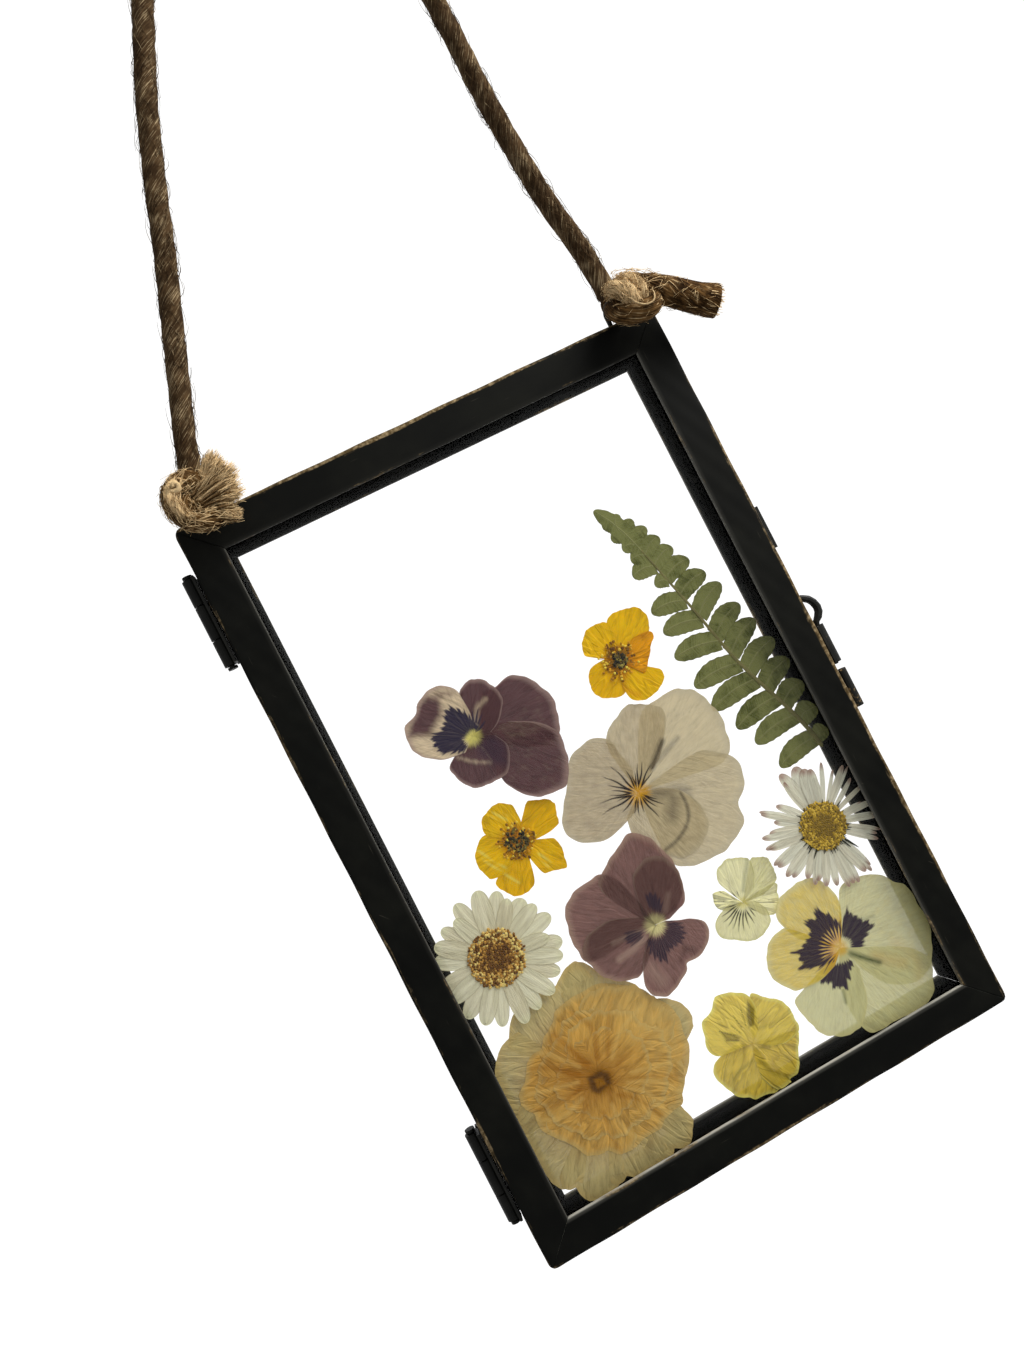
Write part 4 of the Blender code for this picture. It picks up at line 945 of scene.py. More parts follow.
def cream_paint(x, z, number):
    """The marks, tints and stains of one petal, counted from the back."""
    if number == 4:
        mauve = patch(x, z, [(-27.5, 24.5), (-29.2, 22.4), (-25.4, 21.0), (-21.6, 23.5), (-20.8, 26.0),
            (-22.5, 27.6), (-25, 26.8)], 2.2)
        rosy = stroke(x, z, [(-20.6, 27.2), (-18.6, 26.0)], 1.4, 1.4)
        low = patch(x, z, [(-26.5, 18.6), (-24.6, 16.6), (-22.6, 15.6), (-23.6, 18.4)], 1.6)
        blotch = patch(x, z, scaled(CREAM_BLOTCH, 1.18), 0.3, 0.7, CREAM_MIDDLE)
        return {"mark": blotch, "tint": mauve * 0.95 + rosy * 0.5 + low * 0.3}
    if number == 2:
        pale = stroke(x, z, [(-16.8, 18.8), (-15.4, 21.2), (-13.2, 22.2)], 0.6, 1.8)
        return {"tint": -1.0 * pale, "mark": rays(x, z, CREAM_MIDDLE,
            [(62, 4.8), (50, 5.4), (38, 4.6), (24, 3.8)], 0.6) * 0.9}
    if number == 3:
        pale = np.maximum(stroke(x, z, [(-22.6, 14.8), (-20.6, 13.0), (-17.6, 11.2)], 0.5, 1.4),
            stroke(x, z, [(-17.8, 14.5), (-17.2, 11.5)], 0.3, 0.8))
        dark = patch(x, z, [(-18.4, 16), (-19, 13.5), (-17.4, 10.4), (-15, 9.4), (-13.6, 12.6),
            (-14.6, 15.4)], 2.0)
        return {"tint": -0.9 * pale * (1 - dark * 0.4), "mark": dark * 0.5}
    return {"tint": 0.12 * np.clip(1 - depth_inside(x, z, [(-14, 17), (-3, 19), (-4, 11), (-13, 13)]), 0,
        1)}


flower("viola_purple_cream", CREAM_MIDDLE, CREAM_PETALS, petal_finish(
    "viola_purple_cream", (200, 182, 152), (86, 60, 62), (38, 32, 54), (206, 198, 110), 2.3, 0.01,
    vein=0.30, fold=0.28, stack=0.20, crease=0.2, rim=(150, 126, 118)), cream_paint)

PURPLE_MIDDLE = (-4.0, -30.2)
PURPLE_PETALS = [
    (0.2, [(-9, -30), (-14, -30.6), (-18.3, -30.3), (-19.2, -27.4), (-19.4, -24.9), (-18.9, -22.1),
        (-17.3, -19.3), (-15.1, -17.6),
           (-12.6, -17), (-8.9, -17), (-6.5, -19.5), (-5.0, -24)]),
    (0.3, [(-7, -26), (-9.8, -21), (-10, -18.5), (-8.6, -17), (-6.4, -15.4), (-4.5, -14.3), (-0.5, -13),
        (2, -14.5),
           (3, -15.9), (4.1, -19.3), (4.5, -21.8), (4.1, -26.5), (1, -29.5)]),
    (0.3, [(-6, -27.5), (-11, -25.4), (-14.2, -25.3), (-17, -26), (-18, -27.4), (-18.6, -29.5),
        (-18.1, -31.8),
           (-17.3, -34), (-15.1, -35.9), (-12.6, -37), (-10.8, -37.1), (-8, -35), (-6.5, -33)]),
    (0.35, [(-5, -27.5), (-4.6, -23.5), (-3.9, -20.7), (-2.6, -19.3), (0.5, -18.5), (3, -19.3),
        (4.3, -21.8), (4.4, -24.9),
            (3.6, -28.1), (2.7, -29.3), (1.1, -29.8), (-1, -30.5)]),
    (0.15, [(-2, -30.4), (0.5, -31.6), (2.4, -32.3), (4.3, -33.7), (4.8, -34.9), (4.3, -36.8), (2.4, -38.4),
        (0.2, -39.5), (-1.9, -39.4),
            (-2.6, -40.6), (-4.5, -41.7), (-6.4, -42.4), (-8.3, -42.9), (-10.1, -42), (-10.9, -40.6),
            (-10.9, -38.7),
            (-9.5, -35.6), (-7, -32.2)]),
]
PURPLE_BLOTCHES = {
    4: [(-6.8, -31.6), (-7.4, -34.2), (-6.6, -36.4), (-5.2, -37.3), (-4.2, -35.8), (-2.6, -35.5),
        (-1.0, -35.5), (0.4, -34.2),
        (0.5, -32.4), (-0.8, -31.0), (-2.0, -30.8), (-2.6, -31.9), (-3.9, -32.7), (-5.4, -32.3)],
    2: [(-10.4, -30.2), (-9.9, -31.4), (-7.3, -31.2), (-6.7, -30.2), (-8.2, -29.2), (-9.8, -28.8)],
    3: [(-3.6, -26.6), (-3.3, -24.9), (-2.6, -24.2), (-1.2, -25.2), (-1.0, -27.4), (-1.9, -28.7),
        (-2.7, -28.3)],
}


def purple_paint(x, z, number):
    """The marks, tints and stains of one petal, counted from the back."""
    out = {}
    if number in PURPLE_BLOTCHES:
        streaks = 0.62 + 0.38 * np.sin(np.degrees(np.arctan2(z + 30.2, x + 4.0)) * 0.62) ** 2
        out["mark"] = patch(x, z, PURPLE_BLOTCHES[number], 0.35, 0.8, PURPLE_MIDDLE) * streaks
    if number == 2:
        out["warm"] = 0.75 * np.maximum(stroke(x, z, [(-12.6, -29.4), (-9, -29.6), (-6.4, -30)], 0.5, 1.2),
            stroke(x, z, [(-13, -32.6), (-10, -32.2), (-7, -31.4)], 0.7, 1.4))
    if number == 3:
        out["warm"] = 0.55 * stroke(x, z, [(-1.0, -28.6), (0.8, -26.4)], 0.5, 1.4)
    if number == 4:
        out["warm"] = 0.45 * stroke(x, z, [(-8.6, -37.0), (-7.6, -40.0)], 1.2, 3.0)
        out["tint"] = 0.6 * stroke(x, z, [(-2.6, -38.4), (-1.0, -37.0), (0.6, -38.2)], 0.6, 1.6)
    return out


flower("viola_purple", PURPLE_MIDDLE, PURPLE_PETALS, petal_finish(
    "viola_purple", (126, 94, 88), (76, 48, 46), (38, 30, 46), (206, 198, 140), 2.7, 0.01,
    warm=(184, 158, 140), vein=0.28, fold=0.22, stack=0.62, crease=0.18, rim=(156, 130, 114)), purple_paint)

PALE_MIDDLE = (13.2, -35.0)
PALE_PETALS = [
    (0.3, [(17, -34.5), (20.7, -34.8), (20.3, -36.5), (19.4, -38.4), (17.8, -39.9), (15.5, -39)]),
    (0.5, [(16, -31.5), (18.4, -28.5), (19.8, -28.7), (21.3, -29.6), (21.7, -32.8), (20.7, -34.6),
        (17.5, -35.6)]),
    (0.2, [(11.8, -32), (10.8, -29.5), (11.5, -27.2), (13, -26.5), (14.8, -26.4), (17.8, -27.8),
        (18, -30.5), (16.5, -33.5)]),
    (0.4, [(12, -33), (10.8, -31.2), (9, -30.7), (8.2, -31.9), (8.2, -33.2), (9.2, -34.6), (11.5, -35.6)]),
    (0.3, [(10.5, -34), (8, -34.8), (6.7, -35.7), (6.1, -36.9), (6.3, -38.6), (8.8, -40.7), (11.1, -42.1),
        (13.6, -42.2),
           (15, -41.7), (16.5, -40.5), (16.6, -38), (15.3, -35.6)]),
]
PALE_RAYS = [
    (150, 2.6), (165, 3.6), (182, 5.0), (195, 5.4), (207, 5.6), (219, 5.4), (231, 5.6), (243, 5.4),
    (256, 5.0), (270, 4.6),
    (286, 3.8), (301, 3.0), (110, 3.2), (130, 2.6), (92, 2.6),
]


def pale_paint(x, z, number):
    """The marks, tints and stains of one petal, counted from the back."""
    return {
        "mark": rays(x, z, PALE_MIDDLE, PALE_RAYS, 0.36, 1.2),
        "cool": 0.8 * stroke(x, z, [(14.4, -33), (16.2, -30.4), (17.9, -28)], 0.5,
            0.8) * (number in (1, 2)),
    }


flower("viola_pale_small", PALE_MIDDLE, PALE_PETALS, petal_finish(
    "viola_pale_small", (218, 214, 170), (194, 190, 128), (36, 36, 28), (206, 198, 130), 1.4, 0.09,
    cool=(112, 116, 66),
    vein=0.16, fold=0.16, stack=0.26, rim=(188, 186, 134)), pale_paint)

PANSY_MIDDLE = (26.0, -51.6)
PANSY_PETALS = [
    (0.14, [(29, -46), (30.2, -43.5), (31.5, -41.5), (34, -41), (37, -41.7), (39.7, -43.3), (41.7, -45.7),
        (43.6, -47.7), (44.2, -52),
            (43.6, -57.3), (42, -61.3), (40, -64), (36, -64.5), (31, -62), (28, -57)]),
    (0.12, [(23, -56), (22.0, -62), (22.7, -66.5), (24, -68.8), (26.3, -69.2), (31, -69.3), (36.5, -69.2),
        (38.7, -68), (40, -65.7),
            (40.9, -62), (38, -58), (32, -54.6)]),
    (0.05, [(19.5, -54), (15, -55.2), (13.5, -55.9), (13.1, -57.2), (13.3, -58.7), (14.3, -62.3),
        (16.3, -65), (18.7, -66.7), (20.7, -67),
            (22.9, -66.3), (26, -63), (27.5, -57)]),
    (0.66, [(22, -48), (19.5, -46), (18, -43), (17.5, -40.8), (18, -39.3), (20.3, -37.5), (23.7, -36.5),
        (26.7, -36.8), (28.8, -38.8),
            (30, -42), (29.8, -44.7), (28, -48.5)]),
    (0.7, [(23.6, -48.5), (19.6, -44.2), (18, -42.9), (15.7, -43.2), (13, -44.8), (11.7, -47),
        (11.3, -49.3), (12, -51), (12.7, -52.3),
           (14, -54.2), (16.3, -54.8), (19.7, -55), (23.4, -54.0)]),
]
UPPER_BLOTCH = [
    (23.6, -52.6), (20.8, -52.2), (19.4, -51.6), (17.2, -50.9), (18.4, -50.2), (18.2, -49.2), (18.6, -48.6),
    (17.5, -47.6), (19.6, -47.8),
    (20.3, -47.3), (21.6, -46.9), (22.3, -45.8), (22.1, -43.8), (23.2, -44.4), (24.2, -44.6), (24.9, -42.3),
    (25.6, -44.4), (26.6, -45.0),
    (27.1, -46.4), (27.6, -47.2), (27.2, -49.6), (26.4, -50.2), (24.8, -49.8), (23.8, -50.6),
]
PANSY_BLOTCHES = {
    4: UPPER_BLOTCH, 3: UPPER_BLOTCH,
    0: [(27.7, -49.9), (28.6, -48.4), (29.3, -47.4), (31.2, -45.9), (30.9, -47.1), (31.8, -48.2),
        (32.3, -49.2), (33.0, -49.6), (33.8, -51.1),
        (32.2, -51.7), (30.9, -52.4), (30.6, -53.0), (29.2, -53.7), (28.2, -52.6), (28.7, -51.2)],
    2: [(19.5, -55.1), (21.4, -54.3), (23.2, -53.9), (25.0, -54.5), (27.0, -54.8), (26.2, -55.9),
        (25.3, -56.4), (25.0, -57.7), (24.3, -57.5),
        (23.7, -59.1), (22.8, -58.1), (21.3, -57.5), (21.4, -56.4), (20.2, -56.0)],
}
PANSY_RAYS = [(a, 5.0 + (a * 7 % 3)) for a in range(84, 208, 11)]


def pansy_paint(x, z, number):
    """The marks, tints and stains of one petal, counted from the back."""
    out = {"cool": np.zeros(len(x)), "warm": np.zeros(len(x))}
    if number in PANSY_BLOTCHES:
        out["mark"] = patch(x, z, scaled(PANSY_BLOTCHES[number], 1.12), 0.25, 0.5, PANSY_MIDDLE)
        distance = np.hypot(x - PANSY_MIDDLE[0], z - PANSY_MIDDLE[1])
        if number >= 3:
            streak = 0.5 + 0.5 * np.sin(np.degrees(np.arctan2(z - PANSY_MIDDLE[1],
                x - PANSY_MIDDLE[0])) * 0.57 + 1)
            thin = np.clip((distance - 1.6 - streak * 2.2) / 0.8, 0, 1)
            out["mark"] = np.maximum(out["mark"] * thin,
                rays(x, z, PANSY_MIDDLE, PANSY_RAYS, 0.36, 1.6) * 0.9)
            out["warm"] = 0.95 * np.clip(1.25 - distance / 5.2, 0, 1)
    if number in (0, 1):
        out["cool"] = np.maximum.reduce([
            stroke(x, z, [(27.4, -53.6), (29.4, -55.6), (31.6, -57.8)], 0.9, 0.9),
            0.55 * stroke(x, z, [(31.8, -49.0), (34.8, -49.5)], 0.5, 0.8),
            0.5 * stroke(x, z, [(27.2, -55), (28.6, -59), (29.6, -63)], 0.08, 0.25),
            0.5 * stroke(x, z, [(28, -55), (31, -59.4), (32.6, -62)], 0.08, 0.25)])
        out["warm"] = 0.3 * np.maximum(stroke(x, z, [(31.6, -56.4), (34, -58.6), (36, -60)], 1.4, 2.6),
            0.6 * stroke(x, z, [(36.5, -56), (38.5, -61.5), (37.5, -64)], 1.4, 2.6))
    if number == 2:
        out["cool"] = 0.6 * stroke(x, z, [(22.6, -59.0), (22.0, -61.2)], 0.6, 0.5)
    return out


flower("pansy_pale", PANSY_MIDDLE, PANSY_PETALS, petal_finish(
    "pansy_pale", (198, 196, 152), (206, 182, 88), (50, 40, 54), (208, 176, 96), 2.0, 0.08,
    warm=(200, 146, 54), cool=(84, 94, 70),
    vein=0.14, fold=0.16, stack=0.02, crease=0.14, rim=(200, 194, 144)), pansy_paint)

YELLOW_MIDDLE = (2.3, -58.9)
YELLOW_PETALS = [
    (0.55, [(2.5, -62), (3.5, -66), (2.7, -69), (-0.2, -68.6), (-2.1, -68.5), (-3.2, -67.5), (-4.9, -66),
        (-6.4, -63.1),
            (-7.1, -61), (-6.1, -58.9), (-4, -58), (-1, -57.5)]),
    (0.6, [(4, -59.5), (9.5, -60.5), (11.2, -61.5), (9.8, -64.2), (8.3, -66.9), (7.3, -68.2), (5.6, -68.4),
        (5.4, -69.1),
           (2.7, -68.9), (1, -66), (1.2, -62)]),
    (0.3, [(4.0, -55), (6.2, -50.7), (8.3, -52.3), (10.4, -54.2), (11.7, -56.3), (11.8, -58.9),
        (11.2, -61.3), (8, -62), (5, -61)]),
    (0.25, [(-1, -58.4), (-4.6, -57.8), (-6, -55.7), (-5.4, -53.4), (-4.6, -51), (-2.3, -49.8),
        (-0.7, -48.2), (0.3, -47.6), (3.6, -48.9), (5.5, -50.2),
            (6.0, -53), (4.6, -57)]),
]


def yellow_paint(x, z, number):
    """The marks, tints and stains of one petal, counted from the back, and painted shade along its folds."""
    if number == 3:
        thin = [[(-2.3, -53.8), (-0.9, -55.2), (0.3, -56.1)], [(-1.9, -56.0), (0.2, -57.1)],
            [(0.2, -54.1), (1.1, -56.0)],
                [(1.4, -52.7), (1.8, -55.2)], [(3.2, -52.4), (2.7, -55.2)]]
        wedges = np.maximum(
            patch(x, z, [(5.1, -51.3), (5.6, -53.4), (4.1, -56), (3.0, -56.0), (3.6, -54)], 0.4),
            0.8 * patch(x, z, [(-2.3, -53.8), (-1.9, -56), (-0.2, -57.2), (0.7, -56.7), (-0.6, -55.2)],
                0.4))
        return {"mark": 0.85 * np.maximum.reduce([stroke(x, z, line, 0.22, 0.2) for line in thin]),
            "cool": wedges}
    # Painted shade along the folds of the three lower petals: a bent line, its width and how soft its edge is.
    folds = {
        0: [([(-5.2, -65), (-3.2, -62.6), (0.8, -61.9)], 0.4, 1.0),
            ([(2.0, -61), (2.0, -64), (3.2, -66.6)], 0.5, 0.8)],
        1: [([(2.6, -60), (4.8, -61.2)], 0.5, 0.5), ([(2.2, -62.6), (3.2, -65.6), (5.8, -68.4)], 0.6, 0.9),
            ([(6, -61.6), (8.4, -60.6), (10.4, -59.4)], 0.2, 0.7)],
        2: [([(4.4, -57), (8.0, -57.6), (11.4, -57)], 0.2, 1.2), ([(2.8, -59.6), (4.8, -61.0)], 0.5, 0.5)],
    }[number]
    return {"cool": 0.75 * np.maximum.reduce([stroke(x, z, line, width, soft) for line, width,
        soft in folds])}


# The cool colour marks the wedges by the middle and is painted shade along the folds.
flower("viola_yellow", YELLOW_MIDDLE, YELLOW_PETALS, petal_finish(
    "viola_yellow", (214, 194, 92), (186, 160, 62), (58, 54, 26), (206, 184, 96), 1.6, 0.03,
    cool=(116, 104, 40), vein=0.16,
    fold=0.40, stack=0.14, crease=0.5, rim=(222, 208, 120)), yellow_paint)

BUTTERCUP_UPPER = [
    (0.3, [(13.8, 21), (14.2, 24.5), (15.8, 25.5), (18, 25.5), (20.4, 24.9), (21.9, 22.6), (21.5, 20.4),
        (20, 18.8), (17, 17.6)]),
    (0.3, [(10.6, 19), (8, 20.4), (7.6, 21.4), (8.2, 23.4), (10, 24.9), (12, 25.3), (13.9, 24.9),
        (14.6, 23), (14.2, 20)]),
    (0.4, [(10.8, 18.6), (8, 18.4), (6.4, 17.2), (5.8, 14.8), (6.6, 12.4), (8.7, 11.3), (11, 11),
        (12.3, 12.5), (12.8, 14.5)]),
    (0.3, [(12, 15), (11.4, 12.5), (11.5, 10), (12.6, 8.7), (15.3, 8.2), (17.8, 8.9), (19.4, 10.6),
        (19.3, 12.2), (16.8, 13.4), (14.8, 15)]),
    (0.9, [(15, 18.8), (17.6, 19.7), (20.6, 19.5), (21.3, 18.2), (20, 17), (18.4, 14.9), (17.2, 13.4),
        (16.1, 12.8), (14.6, 15)]),
]
BUTTERCUP_LOWER = [
    (0.35, [(-18, -6), (-14, -6.7), (-13.2, -7.8), (-12.9, -9.6), (-13.5, -12.3), (-14.2, -12.9),
        (-16.3, -12.4), (-18, -12),
            (-18.8, -10), (-19.3, -7.5)]),
    (0.4, [(-22, -7), (-26.8, -9), (-26.3, -11.5), (-24.5, -13.2), (-22.7, -13.6), (-20.8, -13),
        (-19.9, -11), (-19.4, -8.8), (-18.8, -7)]),
    (0.4, [(-17, -2.3), (-16.3, -1.5), (-15.9, 0.4), (-14.9, 1.4), (-14.2, 1.4), (-11.7, 0.3), (-10.4, -1),
        (-10.3, -1.6),
           (-11.2, -4.4), (-11.7, -5.1), (-13.8, -5.6), (-16.8, -5.6)]),
    (0.3, [(-21.5, -1.5), (-24.9, -0.4), (-26.6, -1.2), (-28, -3), (-28.6, -5), (-28, -7), (-27, -8.3),
        (-24, -8.5), (-21.5, -6.6)]),
    (0.3, [(-22, -2.4), (-24.6, -0.4), (-24, 2.2), (-22, 3.5), (-20.3, 3.8), (-18.6, 3), (-17.6, 2.2),
        (-17.5, 0.5),
           (-17.6, -1.5), (-18.2, -2.6)]),
]
# Painted highlights on the lower buttercup's glossy petals: pale streaks, each a bent line.
HIGHLIGHT_STREAKS = [[(-26.8, -2.6), (-26, -6), (-24.4, -7.4)], [(-24.6, -9), (-23.4, -11)],
    [(-21.6, 2.2), (-19.8, 0.6)], [(-16.6, -10.8), (-17, -8.4)]]


def lower_buttercup_paint(x, z, number):
    """The painted highlights of one petal, counted from the back: pale streaks where the glossy petal catches the
    light.
    """
    pale = np.maximum.reduce([stroke(x, z, line, 0.7, 1.1) for line in HIGHLIGHT_STREAKS])
    return {"cool": pale * 0.8 * (0.5 + 0.5 * np.sin(x * 5 + z * 3))}


def upper_buttercup_paint(x, z, number):
    """The painted shade of one petal, counted from the back: an orange-brown line along a fold between petals."""
    return {"warm": 0.8 * stroke(x, z, [(12.6, 14.4), (11.6, 12.0), (13.2, 9.6)], 0.5, 1.2)}


BUTTERCUPS = {
    "buttercup_upper": ((13.0, 17.0), BUTTERCUP_UPPER, 1.5, 3.6, upper_buttercup_paint),
    "buttercup_lower": ((-20.0, -4.2), BUTTERCUP_LOWER, 2.3, 3.4, lower_buttercup_paint),
}
# Its warm colour is painted shade along a fold, and its cool colour painted highlights.
buttercup_yellow = petal_finish(
    "buttercup_yellow", (232, 176, 2), (206, 140, 1), (90, 60, 10), (170, 104, 4), 4.0, 0.0,
    warm=(176, 100, 2), cool=(236, 212, 110),
    vein=0.20, fold=0.34, stack=0.12, crease=0.35, roughness=0.6)
BALL_RINGS = [(math.sin(a), math.cos(a)) for a in (math.pi / 4, math.pi / 2, 3 * math.pi / 4)]


def balls(places, sizes, values):
    """A small ball, three rings of six between two poles, at many places, each with its own sizes."""
    angle = np.arange(6) * math.pi / 3
    ball = np.array([[0, 0, 1], *[[r * math.cos(a), r * math.sin(a), h] for r,
        h in BALL_RINGS for a in angle], [0, 0, -1]])
    faces = [[0, 1 + k, 1 + (k + 1) % 6] for k in range(6)]
    for base in (1, 7):
        faces += [[base + k, base + 6 + k, base + 6 + (k + 1) % 6, base + (k + 1) % 6] for k in range(6)]
    faces += [[13 + k, 19, 13 + (k + 1) % 6] for k in range(6)]
    points = (places[:, None] + ball[None] * sizes[:, None]).reshape(-1, 3)
    every = [[len(ball) * k + f for f in face] for k in range(len(places)) for face in faces]
    return points, every, {"seed": np.repeat(values, len(ball), 0)}


def grain_finish(name, dark, middle, bright):
    """Grains whose colour comes from each one's own number and a fine mottle."""
    finish = Finish(name, Roughness=0.7)
    finish.set(finish.shader, {"Specular IOR Level": 0.25})
    own, _, _ = finish.attribute("seed")
    mottle = finish.noise(finish.place(), 1500.0, 3.0)
    colour = finish.mix((own + mottle * 0.4).above(0.35, 0.8), seen(*dark), seen(*middle))
    colour = finish.mix((own * 0.7 + mottle * 0.5).above(0.62, 0.9), colour, seen(*bright))
    finish.set(finish.shader, {"Base Color": colour})
    finish.bump(mottle, 0.05, 0.5)
    return finish


stamen_finish = grain_finish("stamens", (92, 60, 8), (190, 136, 20), (236, 196, 70))
carpel_finish = grain_finish("carpels", (28, 24, 12), (80, 68, 26), (160, 148, 70))
STAMENS, CARPELS = 70, 70
for number, (name, (middle, petals, heart, ring, paint)) in enumerate(BUTTERCUPS.items()):
    front = flower(name, middle, petals, buttercup_yellow, paint)
    rng = np.random.default_rng(20 + number)
    angle = rng.uniform(0, 2 * np.pi, STAMENS)
    reach = ring * rng.uniform(0.5, 1.12, STAMENS)
    out = np.column_stack([np.cos(angle), np.zeros(STAMENS), np.sin(angle)])
    heart_at = np.array([middle[0], front, middle[1]])
    tips = heart_at + out * reach[:, None] - (0, 0.02, 0)
    threads = hair_tubes(heart_at + out * 0.9, tips, rng.normal(0, 0.12, (STAMENS, 3)) * (1, 0, 1), 0.10)
    threads = (threads[0], threads[1], {"seed": np.full((len(threads[0]), 3), 0.35)})
    heads = balls(tips, rng.uniform(0.2, 0.36, (STAMENS, 3)) * (1, 0.3, 1),
        rng.uniform(0.1, 0.9, (STAMENS, 3)))
    points, faces, about = joined(threads, heads)
    make_piece(f"{name}_stamens", points, faces, stamen_finish, "front_half", name, **about)
    angle, reach = rng.uniform(0, 2 * np.pi, CARPELS), heart * np.sqrt(rng.uniform(0, 1, CARPELS))
    spots = np.column_stack([middle[0] + reach * np.cos(angle), front - rng.uniform(0, 0.05, CARPELS),
        middle[1] + reach * np.sin(angle)])
    points, faces, about = balls(spots, rng.uniform(0.22, 0.45, (CARPELS, 3)) * (1, 0.3, 1),
        rng.uniform(0, 0.75, (CARPELS, 3)))
    make_piece(f"{name}_carpels", points, faces, carpel_finish, "front_half", name, **about)


# Ruffled tan flower. A large pressed bloom with a pale scalloped outer row and a crumpled golden
# inner row over it, its folds all running out from a small dark eye.

TAN_MIDDLE = (-26.3, -50.6)
TAN_OUTER = [
    (-43.2, -40), (-43.3, -46), (-43.3, -52), (-43.2, -58), (-43.0, -62.6), (-42.0, -64.8), (-40.5, -65.6),
    (-39.4, -65.6),
    (-39.2, -67.3), (-38.3, -69), (-37, -69.8), (-33, -69.7), (-31.2, -69.2), (-30.2, -68.5), (-29, -69.4),
    (-27.6, -69.8),
    (-24, -69.9), (-21.2, -69.8), (-19.9, -68.6), (-18.5, -69.4), (-17, -69.3), (-15.8, -68.1),
    (-14.9, -66.8), (-14.2, -65.7),
    (-14.7, -63.8), (-15.4, -61.8), (-12.4, -58.0), (-10.6, -55.4), (-9.4, -52.8), (-7.5, -51.6),
    (-6.2, -50.6), (-5.7, -49), (-5.8, -47),
    (-6.4, -45.4), (-8, -43.8), (-10.5, -42.4), (-11.4, -38.4), (-14.6, -36.4), (-17.4, -33.6),
    (-19.0, -30.2), (-20.6, -28.8),
    (-22.4, -29.1), (-24.3, -30.2), (-26.0, -31.4), (-29.0, -30.6), (-33.0, -30.6), (-35.6, -32.4),
    (-38, -34.8), (-40, -36),
    (-41.4, -37.5), (-42.4, -39),
]
TAN_INNER = [
    (-41.4, -47.4), (-41, -45.6), (-39, -44), (-38, -42.6), (-37, -41), (-35.5, -40), (-33.5, -39.8),
    (-32.2, -38.4), (-31, -38),
    (-29.3, -36.8), (-28.2, -35.4), (-26, -34.9), (-22, -34.6), (-18.5, -34.8), (-16, -36.2),
    (-13.5, -37.5), (-11.5, -38.5),
    (-10.8, -40.5), (-9.8, -42.5), (-8.4, -45), (-7.8, -48), (-8.6, -50.5), (-8.6, -53), (-9.6, -55.4),
    (-12, -58), (-14, -60.6),
    (-14.7, -62.2), (-16.8, -62.4), (-19, -62.8), (-20.5, -64), (-24, -64), (-27.5, -65), (-29.5, -64.5),
    (-31, -62.5), (-33, -62.5),
    (-35, -61.5), (-36, -59), (-37.5, -57), (-39, -55.5), (-40.3, -53), (-40.0, -50), (-41.1, -48.6),
]
# Each sheet: the outline that it follows, the direction of its middle and its half width in degrees, its
# share of the outline's reach, and its tint.
TAN_SHEETS = [
    ("outer", 100, 34, 1.0, 0.05), ("outer", 62, 26, 1.0, 0.1), ("outer", 12, 30, 1.0, 0.1),
    ("outer", -36, 30, 0.98, 0.15),
    ("outer", 155, 33, 1.0, 0.12), ("outer", 200, 32, 1.0, 0.0), ("outer", -64, 22, 1.0, 0.0),
    ("outer", -92, 20, 1.0, 0.02),
    ("outer", -122, 20, 1.0, 0.0), ("inner", 84, 52, 1.0, 0.8), ("inner", -8, 48, 1.0, 0.72),
    ("inner", -62, 46, 1.0, 0.8),
    ("inner", 168, 50, 1.0, 0.9), ("inner", -128, 44, 1.0, 0.82), ("inner", 40, 40, 0.97, 0.7),
    ("inner", 118, 50, 0.84, 0.95),
    ("inner", -34, 54, 0.80, 0.78), ("inner", -98, 50, 0.78, 0.85), ("inner", 196, 48, 0.82, 0.98),
    ("inner", 62, 52, 0.72, 0.92),
    ("inner", 148, 60, 0.58, 1.0), ("inner", 14, 62, 0.56, 0.92), ("inner", -112, 62, 0.52, 0.95),
]
# Folds of the inner sheets that stand out: a bent line, its width, and whether it is dark. Dark folds are painted
# shade, the others painted highlights.
TAN_FOLDS = [
    ([(-24.6, -54.6), (-21.6, -57.4), (-19.4, -62.0)], 0.7, True),
    ([(-23.0, -54.2), (-20.0, -56.6), (-18.0, -62.4)], 0.5, False),
    ([(-22.0, -53.6), (-17.0, -56.2), (-14.0, -60.0)], 0.5, False),
    ([(-21.4, -53.0), (-16.4, -55.2), (-12.4, -57.6)], 0.4, True),
    ([(-20.6, -52.2), (-15.6, -53.6), (-10.6, -54.8)], 0.4, False),
    ([(-28.6, -56.0), (-29.4, -60.0), (-29.0, -64.0)], 0.6, True),
    ([(-26.6, -55.6), (-26.8, -60.0), (-25.0, -63.6)], 0.5, False),
    ([(-31.0, -51.8), (-35.6, -53.0), (-39.8, -51.6)], 0.5, False),
    ([(-30.6, -50.2), (-35.4, -50.6), (-40.4, -49.2)], 0.4, True),
    ([(-30.4, -48.8), (-35.8, -47.4), (-39.6, -46.2)], 0.5, False),
    ([(-29.6, -47.6), (-33.6, -44.0), (-37.0, -42.4)], 0.5, True),
    ([(-28.8, -46.4), (-32.4, -42.0), (-34.4, -40.4)], 0.5, False),
    ([(-25.0, -46.6), (-23.4, -41.4), (-25.8, -37.0)], 0.9, True),
    ([(-27.2, -46.8), (-29.4, -41.0), (-30.4, -38.8)], 0.8, True),
    ([(-30.8, -53.4), (-34.6, -56.4), (-36.6, -57.4)], 0.5, True),
    ([(-22.6, -48.0), (-18.8, -44.4), (-13.4, -42.4)], 0.5, False),
    ([(-22.4, -49.6), (-17.0, -48.4), (-9.4, -47.6)], 0.4, True),
    ([(-23.0, -47.0), (-20.4, -42.2), (-17.6, -38.0)], 0.6, True),
]


